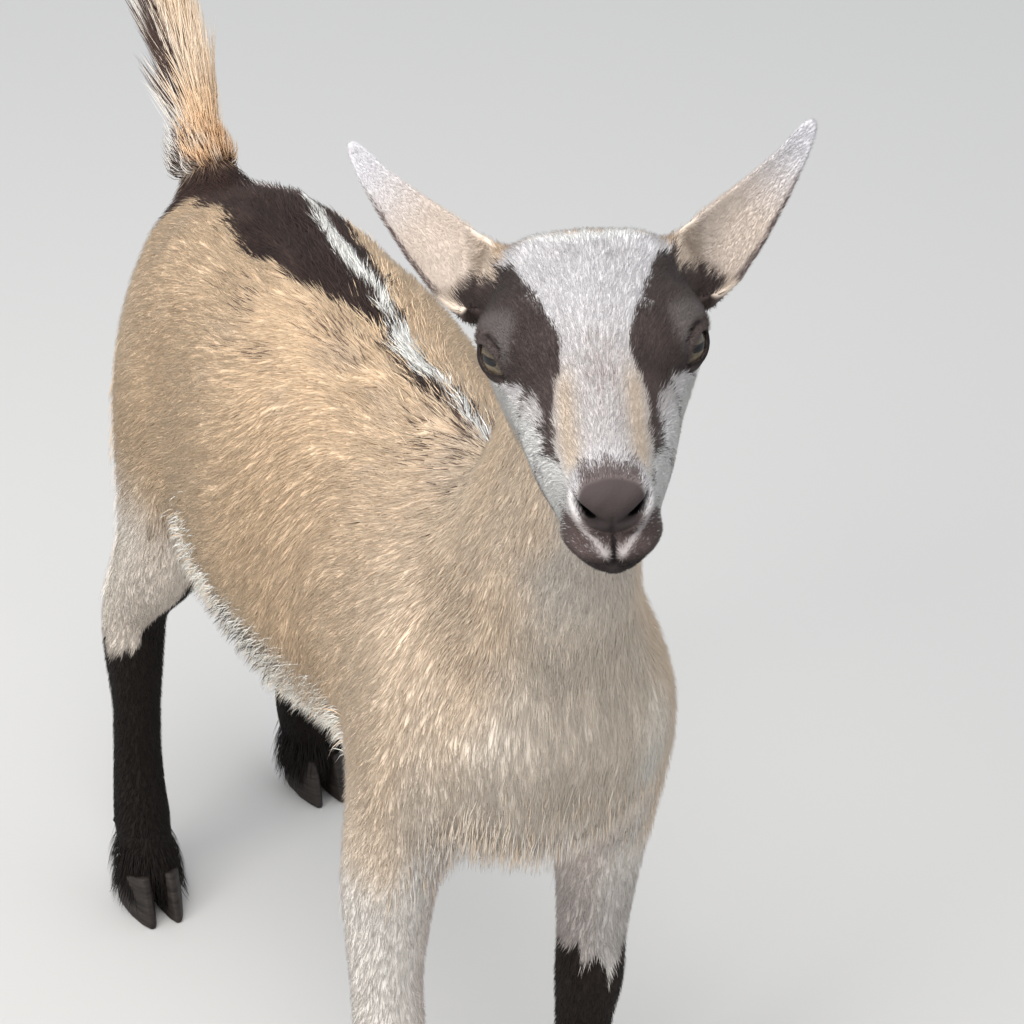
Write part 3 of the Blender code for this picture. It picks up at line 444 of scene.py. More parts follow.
head_low = np.minimum(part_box("head")[0], np.minimum(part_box("ear_left")[0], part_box("ear_right")[0]))
head_high = np.maximum(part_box("head")[1], np.maximum(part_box("ear_left")[1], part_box("ear_right")[1]))
JOIN = head_low[2] - 0.016      # the fine skin of the head meets the body's at this height
head_low = np.array((*head_low[:2], JOIN)) - 0.010
head_high = np.array(head_high) + 0.010
skull_nodes = ["head", "neck", "eye_left", "eye_right"]
solid_points, solid_faces = mesh_arrays(skull_nodes)
bent_points = from_head(((solid_points - head_at) @ head_axes) / head_size)
skull = cast(bent_points, solid_faces, HEAD_STEP, head_low, head_high, 4 * HEAD_STEP)
skull = cast(*shell(skull, 0.0005), HEAD_STEP, head_low, head_high, 0.012)
HEAD_BLUR = 7
head_values = blurred(skull.values + 0.0005, HEAD_BLUR)
face = Field(head_values, skull.first, skull.step)

where, (gx, gy, gz) = grid_of(face)
face.values[where] += coat_depth(gx, gy, gz)

EAR_FILLET, ROOT_FILLET = 0.0040, 0.0150    # where the ear meets the head, and in its cup at the root
q = in_head(gx, gy, gz)
for side in (1, -1):
    ear = cast(*ear_shell(side), HEAD_STEP, head_low, head_high, 0.016)
    axis = ear_axes(side)[0]
    along = sum((q[i] - EAR_ROOT[i] * (side if i == 0 else 1)) * axis[i] for i in range(3)) / EAR_LENGTH
    soft = ROOT_FILLET + (EAR_FILLET - ROOT_FILLET) * ramp(along, 0.10, 0.42)
    joined = blend(face.values, blurred(ear.values, 1), soft)
    face = Field(joined.astype(np.float32), face.first, face.step)

# The eyelids: a swelling over the ball, opened as a lens, with rolled rims and a crease above.
EYE_FACES = unit(np.array((0.77, -0.62, 0.12)))
LID_LENGTH, LID_UP, LID_DOWN = 0.0192, 0.0064, 0.0058
ball_r = EYE_R / head_size


def lid_axes(side):
    """The way the eye faces, the line between its corners, and up across the opening."""
    faces = EYE_FACES * (side, 1, 1)
    corner = np.array((0, -0.93, -0.30))
    corner = unit(corner - faces * (corner @ faces))
    rise = np.cross(faces, corner)
    return faces, corner, rise * np.sign(rise[2])


def lid_line(side, angles, out, lift=0.0, grow=1.0):
    """Points of the opening's rim on a ball of radius out: a lens, its ends drawn to corners."""
    faces, corner, rise = lid_axes(side)
    a = np.cos(angles) * LID_LENGTH / 2 * grow
    h = np.abs(np.sin(angles)) ** 1.15 * np.where(np.sin(angles) > 0, LID_UP, -LID_DOWN) * grow + lift
    flat = np.outer(a, corner) + np.outer(h, rise)
    depth = np.sqrt(np.maximum(out**2 - (flat**2).sum(1), 1e-6))
    return EYE_AT * (side, 1, 1) + flat + np.outer(depth, faces)


def nearby(field, at, reach):
    """A box of the grid round a point in the head's frame, and its points in that frame."""
    centre = from_head(at)
    where, (x, y, z) = grid_of(field, centre - reach, centre + reach)
    x, y, z = np.broadcast_arrays(x, y, z)
    return where, in_head(x, y, z)


for side in (1, -1):
    where, q = nearby(face, EYE_AT * (side, 1, 1), 0.032)
    d = face.values[where] / head_size
    centre = EYE_AT * (side, 1, 1)
    faces, corner, rise = lid_axes(side)
    p = [q[i] - centre[i] for i in range(3)]
    ball = np.sqrt(sum(v * v for v in p)) - ball_r
    a, h, f = (sum(p[i] * axis[i] for i in range(3)) for axis in (corner, rise, faces))
    d = blend(d, ball - 0.0016, 0.0050)
    upper = lid_line(side, np.linspace(0.12, math.pi - 0.12, 15), ball_r + 0.0014)
    lower = lid_line(side, np.linspace(math.pi + 0.15, 2 * math.pi - 0.15, 15), ball_r + 0.0007)
    crease = lid_line(side, np.linspace(0.15, math.pi - 0.10, 13), ball_r + 0.0022, 0.0029, 1.06)
    under = lid_line(side, np.linspace(math.pi + 0.5, 2 * math.pi - 0.3, 11), ball_r + 0.0024, -0.0036, 1.1)
    for fold, ends, widest, soft in ((crease, 0.0004, 0.0008, 0.0020), (under, 0.0005, 0.0011, 0.0014)):
        radii = np.interp(np.linspace(0, 1, len(fold)), [0, 0.5, 1], [ends, widest, ends])
        d = carve(d, tube(q, fold, radii), soft)
    lens = np.abs(h) - np.where(h > 0, LID_UP, LID_DOWN) * (1 - (a / (LID_LENGTH / 2)) ** 2)
    opening = np.maximum(0.75 * lens, 0.25 * ball_r - f)
    d = carve(d, opening, 0.0012)
    d = blend(d, tube(q, upper, np.full(15, 0.00155)), 0.0012)
    d = blend(d, tube(q, lower, np.full(15, 0.00105)), 0.0010)
    tear = lid_line(side, np.array([0.0]), ball_r + 0.0016)[0]
    furrow = [tear - corner * 0.002, tear + corner * 0.004 - faces * 0.0008 - rise * 0.0015,
              tear + corner * 0.010 - faces * 0.0022 - rise * 0.0050]
    d = carve(d, tube(q, furrow, [0.0014, 0.0012, 0.0004]), 0.0020)
    d = np.maximum(d, -(ball - 0.00025))
    face.values[where] = d * head_size

# The muzzle: comma-shaped nostrils under a raised wing, the groove of the lip and the mouth.
# Each path is given roughly, laid on the skin and then set above or below it by its rise.
NOSTRIL = [(0.0160, -0.1010, -0.0120), (0.0152, -0.1040, -0.0155), (0.0130, -0.1080, -0.0188),
           (0.0100, -0.1100, -0.0212), (0.0062, -0.1110, -0.0232), (0.0030, -0.1115, -0.0246)]
NOSTRIL_R = [0.0008, 0.0018, 0.0024, 0.0023, 0.0017, 0.0008]
WING = [(0.0160, -0.0960, -0.0070), (0.0138, -0.1030, -0.0098), (0.0108, -0.1070, -0.0135),
        (0.0074, -0.1090, -0.0165), (0.0040, -0.1105, -0.0190)]
WING_R = [0.0016, 0.0030, 0.0034, 0.0030, 0.0018]
RIM = [(0.0178, -0.1000, -0.0165), (0.0160, -0.1050, -0.0200), (0.0125, -0.1080, -0.0232),
       (0.0080, -0.1100, -0.0258), (0.0040, -0.1110, -0.0272)]
RIM_R = [0.0012, 0.0020, 0.0021, 0.0018, 0.0010]
GROOVE = [(0.0, -0.1128, -0.0215), (0.0, -0.1122, -0.0280), (0.0, -0.1118, -0.0360), (0.0, -0.1112, -0.0440)]
MOUTH = [(0.0, -0.1108, -0.0452), (0.0055, -0.1098, -0.0452), (0.0110, -0.1050, -0.0440),
         (0.0155, -0.0975, -0.0428), (0.0190, -0.0860, -0.0436), (0.0222, -0.0700, -0.0432),
         (0.0236, -0.0560, -0.0420), (0.0242, -0.0500, -0.0400)]
UPPER_LIP = [(0.0050, -0.1085, -0.0385), (0.0105, -0.1045, -0.0380), (0.0160, -0.0960, -0.0375)]
LOWER_LIP = [(0.0, -0.1055, -0.0495), (0.0070, -0.1030, -0.0492), (0.0130, -0.0965, -0.0485),
             (0.0180, -0.0850, -0.0485)]
smooth_face = Field(face.values.copy(), face.first, face.step)


def laid_on(path, side, rise):
    """A path moved along the way out until it lies at a rise above the smooth face."""
    p = from_head(np.array(path) * (side, 1, 1))
    for _ in range(3):
        p = p + way_out(smooth_face, p) * (rise * head_size - value_at(smooth_face, p))[:, None]
    return np.column_stack(in_head(*p.T))


where, q = nearby(face, (0, -0.080, -0.025), 0.056)
d = face.values[where] / head_size
for side in (1, -1):
    d = blend(d, tube(q, laid_on(WING, side, -0.0016), WING_R), 0.0050)
    d = blend(d, tube(q, laid_on(RIM, side, -0.0010), RIM_R), 0.0040)
    d = blend(d, tube(q, laid_on(UPPER_LIP, side, -0.0026), [0.0030, 0.0038, 0.0030]), 0.0050)
    d = blend(d, tube(q, laid_on(LOWER_LIP, side, -0.0022), [0.0032, 0.0032, 0.0028, 0.0014]), 0.0040)
for side in (1, -1):
    d = carve(d, tube(q, laid_on(NOSTRIL, side, 0.0004), NOSTRIL_R), 0.0014)
    d = carve(d, tube(q, laid_on(NOSTRIL[1:5], side, -0.0036), [0.0014, 0.0020, 0.0020, 0.0012]), 0.0020)
    d = carve(d, tube(q, laid_on(MOUTH, side, 0.0), [0.0009] * 5 + [0.0008, 0.0006, 0.0003]), 0.0010)
d = carve(d, tube(q, laid_on(GROOVE, 1, 0.0), [0.0003, 0.0007, 0.0007, 0.0009]), 0.0012)
face.values[where] = d * head_size


def filled(name, points, quads):
    """A mesh from arrays of points and quads."""
    mesh = bpy.data.meshes.new(name)
    mesh.vertices.add(len(points))
    mesh.vertices.foreach_set("co", np.asarray(points, np.float32).ravel())
    mesh.loops.add(4 * len(quads))
    mesh.loops.foreach_set("vertex_index", np.asarray(quads, np.int32).ravel())
    mesh.polygons.add(len(quads))
    mesh.polygons.foreach_set("loop_start", np.arange(0, 4 * len(quads), 4, dtype=np.int32))
    mesh.update(calc_edges=True)
    mesh.validate()
    return mesh


KEPT_FACES = 0.33       # of the head's fine skin, away from the eyes and the nose


def skin_mesh():
    """The head's fine skin and the body's, cut level at the neck and bridged ring to ring."""
    fine = linked("fine_skin", filled("fine_skin", *shell(face)))
    keep = fine.vertex_groups.new(name="plain")
    points = np.empty(3 * len(fine.data.vertices), np.float32)
    fine.data.vertices.foreach_get("co", points)
    q = in_head(*points.reshape(-1, 3).T)
    near_eye = np.minimum(*[
        np.linalg.norm(np.column_stack(q) - EYE_AT * (side, 1, 1), axis=1) for side in (1, -1)
    ])
    plain = ramp(near_eye, 0.016, 0.022) * ramp(q[1], -0.090, -0.080)
    for weight in (0.0, 1.0):
        chosen = np.where(plain > 0.5 if weight else plain <= 0.5)[0]
        keep.add(chosen.tolist(), weight, "REPLACE")
    fewer = fine.modifiers.new("fewer", "DECIMATE")
    fewer.ratio = KEPT_FACES
    fewer.vertex_group = "plain"
    fewer.use_collapse_triangulate = True
    graph = bpy.context.evaluated_depsgraph_get()
    fine_mesh = bpy.data.meshes.new_from_object(fine.evaluated_get(graph))
    bpy.data.objects.remove(fine)
    coarse_mesh = filled("coarse_skin", *shell(body_field))
    whole = bmesh.new()
    for mesh, above in ((coarse_mesh, False), (fine_mesh, True)):
        part = bmesh.new()
        part.from_mesh(mesh)
        at = JOIN + (0.0010 if above else 0.0)
        near = [f for f in part.faces if f.calc_center_median().y < 0 and f.calc_center_median().z > 0.5]
        geometry = set(near) | {e for f in near for e in f.edges} | {v for f in near for v in f.verts}
        bmesh.ops.bisect_plane(part, geom=list(geometry), plane_co=(0, 0, at), plane_no=(0, 0, 1))
        gone = []
        for f in part.faces:
            face_at = f.calc_center_median()
            if face_at.y < 0 and (face_at.z < at if above else face_at.z > at):
                gone.append(f)
        bmesh.ops.delete(part, geom=gone, context="FACES")
        temporary = bpy.data.meshes.new("temporary")
        part.to_mesh(temporary)
        part.free()
        whole.from_mesh(temporary)
        bpy.data.meshes.remove(temporary)
    rim = [e for e in whole.edges if e.is_boundary and abs(e.verts[0].co.z - JOIN) < 0.003]
    bmesh.ops.bridge_loops(whole, edges=rim)
    bmesh.ops.triangulate(whole, faces=[f for f in whole.faces if len(f.verts) > 4])
    mesh = bpy.data.meshes.new("skin")
    whole.to_mesh(mesh)
    whole.free()
    for old in (coarse_mesh, fine_mesh):
        bpy.data.meshes.remove(old)
    return mesh


skin = linked("skin", skin_mesh())
skin.data.shade_smooth()
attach(skin, "root")
UNDER_SKIN = ("torso", "neck", "head", "ear", "leg", "tail")
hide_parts(*[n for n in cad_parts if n.startswith(UNDER_SKIN)])

# The markings
# The coat is fawn, cream in front, with a dark saddle and a white streak, dark eye patches,
# a pale blaze and black-brown lower legs. One rule gives the colour of skin and hair alike.

TAN, CREAM = np.array((0.74, 0.555, 0.375)), np.array((0.79, 0.65, 0.51))
WHITE, SNOW = np.array((0.78, 0.73, 0.67)), np.array((0.86, 0.84, 0.79))
SADDLE, STOCKING = np.array((0.050, 0.031, 0.026)), np.array((0.0105, 0.0075, 0.0060))
PATCH, GREY = np.array((0.064, 0.047, 0.043)), np.array((0.34, 0.31, 0.30))
GINGER, LEATHER = np.array((0.78, 0.52, 0.31)), np.array((0.058, 0.044, 0.043))


def noise(points, size, seed):
    """Value noise: random values in -1..1 on a lattice, blended smoothly between its corners."""
    at = points / size
    cell = np.floor(at).astype(np.int64)
    t = at - cell
    t = t * t * (3 - 2 * t)
    total = np.zeros(len(points))
    for corner in np.ndindex(2, 2, 2):
        c = cell + corner
        mixed = (c[:, 0] * 73856093) ^ (c[:, 1] * 19349663) ^ (c[:, 2] * 83492791) ^ (seed * 2654435)
        mixed = (mixed ^ (mixed >> 13)) * 1274126177
        value = ((mixed >> 8) & 0xFFFF) / 32767.5 - 1
        total += np.prod(np.where(corner, t, 1 - t), axis=1) * value
    return total


def table(values, pairs):
    """Straight lines between (at, value) pairs."""
    at, value = np.array(sorted(pairs)).T
    return np.interp(values, at, value)


def lay(colours, paint, mask, chance):
    """Paint over the colours: mixed on skin, and hair by hair where each has its own chance."""
    share = mask if chance is None else (mask > chance).astype(float)
    return colours + (np.asarray(paint) - colours) * share[:, None]


def tint(colours, paint, share):
    """The colours mixed with a paint, by a share of it at each place."""
    return colours + (np.asarray(paint) - colours) * share[:, None]


LEGS = ("leg_front_left", "leg_front_right", "leg_hind_left", "leg_hind_right")


def leg_line(name):
    """Heights down a leg, and the middle of its slice at each."""
    points, _ = mesh_arrays([name])
    heights = np.linspace(0.02, 0.36, 18)
    middles = []
    for height in heights:
        ring = points[np.abs(points[:, 2] - height) < 0.016]
        middles.append((ring[:, :2].min(0) + ring[:, :2].max(0)) / 2 if len(ring) else middles[-1])
    return heights, np.array(middles)


leg_lines = [leg_line(name) for name in LEGS]


def from_leg(points, k):
    """How far each point is level from the middle of leg k, across and along the body."""
    heights, middles = leg_lines[k]
    return np.column_stack([points[:, i] - np.interp(points[:, 2], heights, middles[:, i]) for i in (0, 1)])


def regions(points):
    """Weights of head, neck, tail and each leg at the points. The torso is what is left."""
    x, y, z = points.T
    head = on_head(x, y, z)
    neck = ramp(past(NECK_CUT, x, y, z), -0.020, 0.020) * ramp(-y, 0.08, 0.12) * (1 - head)
    tail = ramp(past(TAIL_CUT, x, y, z), -0.004, 0.006) * (y > 0.30)
    low = ramp(-z, -0.40, -0.33)
    side = x > mid_x
    front = y < 0.08
    legs = [low * (side == left) * (front == fore) for fore, left in ((1, 1), (1, 0), (0, 1), (0, 0))]
    return head, neck, tail, legs


SADDLE_EDGE = [(0.345, -0.040), (0.330, -0.038), (0.312, -0.034), (0.290, -0.0215), (0.248, -0.024),
               (0.209, -0.0335), (0.170, -0.0335), (0.136, -0.0268), (0.112, -0.0200), (0.092, -0.0110),
               (0.075, -0.0060), (0.053, 0.0015), (0.027, 0.0), (-0.010, -0.0030), (-0.044, -0.0040),
               (-0.078, -0.0060), (-0.103, -0.0080), (-0.150, 0.002)]
SADDLE_FAR = [(0.330, 0.044), (0.26, 0.056), (0.20, 0.050), (0.157, 0.039), (0.12, 0.0260), (0.09, 0.0215),
              (0.06, 0.0200), (0.03, 0.0160), (-0.006, 0.0140), (-0.04, 0.0150), (-0.08, 0.008),
              (-0.15, 0.002)]
STREAK_AT = [(0.26, 0.0375), (0.235, 0.0340), (0.20, 0.0292), (0.1687, 0.0235), (0.137, 0.0182),
             (0.118, 0.0164), (0.102, 0.0165), (0.080, 0.0165), (0.064, 0.0162), (0.044, 0.0139),
             (0.021, 0.0104), (-0.009, 0.0078), (-0.026, 0.0092), (-0.055, 0.0070), (-0.084, 0.0025),
             (-0.13, 0.0)]
STREAK_HALF = [(0.27, -0.004), (0.250, 0.0), (0.23, 0.0026), (0.20, 0.0040), (0.15, 0.0062), (0.12, 0.0056),
               (0.09, 0.0034), (0.06, 0.0036), (0.036, 0.0046), (0.0, 0.0052), (-0.03, 0.0034),
               (-0.06, 0.0036), (-0.10, 0.0026), (-0.14, 0.0)]


def body_colour(p, n, chance):
    """Fawn flanks that pale to cream towards the chest, with the saddle, streak and belly."""
    x, y, z = p[:, 0] - mid_x, p[:, 1], p[:, 2]
    broad, fine = noise(p, 0.045, 3), noise(p * (1, 0.45, 1), 0.0065, 4)
    colour = tint(np.broadcast_to(TAN, p.shape), CREAM, ramp(-y, -0.02, 0.20) * 0.85)
    colour = tint(colour, CREAM * 1.05, ramp(y, 0.22, 0.34) * ramp(0.53 - z, 0.0, 0.07) * 0.75)
    colour = tint(colour, TAN * 0.84, ramp(0.46 - z, 0, 0.08) * ramp(y, -0.12, -0.02) * 0.6)
    colour = colour * (1 + 0.05 * broad + 0.04 * fine)[:, None]
    clouded = ramp(noise(p, 0.020, 5) + 0.5 * fine, 0.25, 0.9) * ramp(z, 0.40, 0.50)
    colour = tint(colour, GREY * 1.3, 0.16 * clouded)
    smudge = np.exp(-(((y - 0.115) / 0.045) ** 2 + ((x + 0.057) / 0.013) ** 2))
    smudge += 0.8 * np.exp(-(((y - 0.06) / 0.05) ** 2 + ((x + 0.020) / 0.012) ** 2))
    smudge = 0.34 * smudge * (n[:, 2] > 0) * ramp(noise(p * (1, 0.5, 1), 0.010, 6), -0.3, 0.6)
    colour = lay(colour, SADDLE * 3.2, smudge, chance)
    front = ramp(-n[:, 1], 0.25, 0.80) * ramp(-y, 0.10, 0.16)
    colour = tint(colour, WHITE * (0.98, 0.95, 0.91), front * 0.75)
    pale = np.exp(-(((x - 0.050) / 0.013) ** 2 + ((z - 0.400) / 0.040) ** 2)) * (y < -0.14)
    colour = tint(colour, SNOW, 0.8 * pale)
    belly = ramp(-n[:, 2], 0.30, 0.75) * ramp(-z, -0.42, -0.37)
    colour = lay(colour, WHITE, belly * 0.95, chance)
    under = belly * ramp(noise(p, 0.035, 9) + 0.8 * np.exp(-((y - 0.01) / 0.045) ** 2), 0.25, 0.6)
    colour = lay(colour, SADDLE * 1.6, under, chance)
    top = ramp(n[:, 2], 0.05, 0.45) * ramp(z, 0.47, 0.50)
    ragged = 0.0050 * noise(p * (1, 0.3, 1), 0.0080, 7) + 0.0035 * noise(p, 0.020, 8)
    inside = np.minimum(x - table(y, SADDLE_EDGE), table(y, SADDLE_FAR) - x) + ragged
    inside = np.minimum(inside, (0.360 - y) * 0.6)
    soft = np.where(y < 0.06, 0.0045, 0.0028)
    strong = table(y, [(0.10, 1.0), (0.03, 0.90), (-0.02, 0.75), (-0.06, 0.62), (-0.10, 0.45), (-0.16, 0.0)])
    brown = SADDLE * (1 + 0.55 * ramp(y, 0.20, 0.27) + 0.25 * noise(p, 0.012, 10))[:, None]
    colour = lay(colour, brown, top * strong * ramp(inside, -soft, soft), chance)
    wave = 0.0014 * noise(p * (0, 1, 0), 0.018, 11)
    streak = table(y, STREAK_HALF) + 0.0010 * noise(p, 0.012, 12) - np.abs(x - table(y, STREAK_AT) - wave)
    gaps = 1 - 0.7 * np.exp(-((y - 0.052) / 0.006) ** 2) - 0.8 * np.exp(-((y + 0.042) / 0.010) ** 2)
    colour = lay(colour, SNOW, top * gaps * ramp(streak, -0.0012, 0.0006), chance)
    pepper = np.exp(-(x / 0.026) ** 2) * ramp(-y, 0.02, 0.08) * ramp(y, -0.22, -0.13) * (n[:, 2] > 0.2)
    colour = lay(colour, SADDLE * 2.2, 0.26 * pepper, chance)
    return colour


def neck_colour(p, n, chance):
    """Cream at the sides and back, whitish down the front, dimmed there as painted shade under the head."""
    x, y, z = p[:, 0] - mid_x, p[:, 1], p[:, 2]
    colour = np.broadcast_to(CREAM, p.shape) * (1 + 0.05 * noise(p, 0.03, 13))[:, None]
    colour = tint(colour, TAN, 0.55 * ramp(n[:, 1], -0.2, 0.6))
    front = ramp(-n[:, 1] + 0.15 * noise(p, 0.02, 14), 0.35, 0.75)
    # painted shade under the head: the white of the front is dimmed
    colour = tint(colour, WHITE * (0.83, 0.81, 0.79), front * 0.9)
    mane = np.exp(-(x / 0.016) ** 2) * ramp(n[:, 1], 0.1, 0.5)
    return lay(colour, SADDLE * 2.4, 0.20 * mane, chance)


def leg_colour(p, n, k, chance):
    """Leg k: pale or fawn above, a dark stocking below with a ragged top."""
    off = from_leg(p, k)
    z, left = p[:, 2], k in (0, 2)
    outward = n[:, 0] * (1 if left else -1)
    strands = noise(p * (1, 1, 0.25), 0.0050, 20 + k)
    if k < 2:
        colour = np.broadcast_to(WHITE * (1.0, 1.0, 1.01), p.shape)
        colour = tint(colour, CREAM * 0.97, ramp(outward, 0.2, 0.8) * ramp(z, 0.285, 0.335) * 0.9)
        colour = tint(colour, (0.60, 0.49, 0.45), ramp(-outward, 0.1, 0.8) * 0.5)
        if left:
            colour = tint(colour, GREY, ramp(z, 0.20, 0.22) * ramp(0.30 - z, 0, 0.06) * 0.55)
        edge = (0.214 if left else 0.155) + 0.010 * strands
        blaze_down = np.exp(-((off[:, 0] - 0.002) / 0.0045) ** 2) * ramp(-n[:, 1], 0.2, 0.7)
        edge = edge - 0.022 * blaze_down
    else:
        colour = np.broadcast_to((0.70, 0.62, 0.54), p.shape)
        colour = tint(colour, WHITE * (1.0, 0.98, 0.95), ramp(n[:, 1], -0.5, 0.3) * 0.8)
        grizzle = ramp(noise(p * (1, 1, 0.3), 0.010, 30), -0.1, 0.8) * ramp(z, 0.30, 0.37)
        colour = lay(colour, TAN * (0.42, 0.40, 0.40), 0.40 * grizzle, chance)
        inner_front = ramp(-0.88 * outward - 0.47 * n[:, 1], 0.15, 0.80)
        inner_front = inner_front + 0.10 * noise(p * (1, 1, 0.35), 0.016, 34)
        edge = 0.203 + 0.010 * strands + 0.125 * inner_front + 0.16 * off[:, 0] * (-1 if left else 1)
    colour = colour * (1 + 0.04 * noise(p, 0.02, 31))[:, None]
    dark = STOCKING * (1 + (1.0 if k < 2 else 0.3) * ramp(z, 0.05, 0.2))[:, None]
    soft = 0.005 + 0.014 * ramp(z, 0.23, 0.30)
    return lay(colour, dark, ramp(edge - z, -soft, soft), chance)


def ear_place(q, side):
    """Along (0..1) and across (-1..1) the ear at points in the head's frame."""
    axis, across, facing = ear_axes(side)
    rel = q - EAR_ROOT * (side, 1, 1)
    t = (rel @ axis) / EAR_LENGTH
    half = np.interp(t, *np.array(EAR_HALF_WIDTH).T)
    rel = rel - np.clip(t, 0, 1)[:, None] ** 2 * EAR_BEND * (side, 1, 1)
    return t, (rel @ across) / half


def on_ear(q, side):
    """1 on an ear, 0 on the head."""
    t, v = ear_place(q, side)
    return ramp(t, 0.10, 0.20) * ramp(q[:, 0] * side, 0.045, 0.054)


PATCH_INNER = [(-0.084, 0.0185), (-0.072, 0.0192), (-0.060, 0.0198), (-0.049, 0.0186), (-0.042, 0.0162),
               (-0.033, 0.0146), (-0.024, 0.0153), (-0.006, 0.0205), (0.018, 0.0268), (0.034, 0.0300),
               (0.048, 0.0365), (0.062, 0.0400)]
PATCH_OUTER = [(-0.082, 0.0178), (-0.078, 0.0194), (-0.070, 0.0216), (-0.062, 0.0230), (-0.054, 0.0243),
               (-0.044, 0.0258), (-0.038, 0.0306), (-0.034, 0.0335)]
PATCH_LOW = [(-0.034, -0.0035), (-0.026, -0.0064), (-0.0225, -0.0075), (-0.015, -0.0125), (0.010, -0.0150),
             (0.035, -0.0180), (0.060, -0.0200)]
LIP_BAND = [(0.0, -0.0400), (0.004, -0.0385), (0.010, -0.0300), (0.015, -0.0235), (0.019, -0.0200)]
EAR_ROOT_LINE = [(0.038, 0.006), (0.0417, 0.0040), (0.0495, -0.0030), (0.0548, -0.0073),
                 (0.0592, -0.0105), (0.066, -0.0130)]


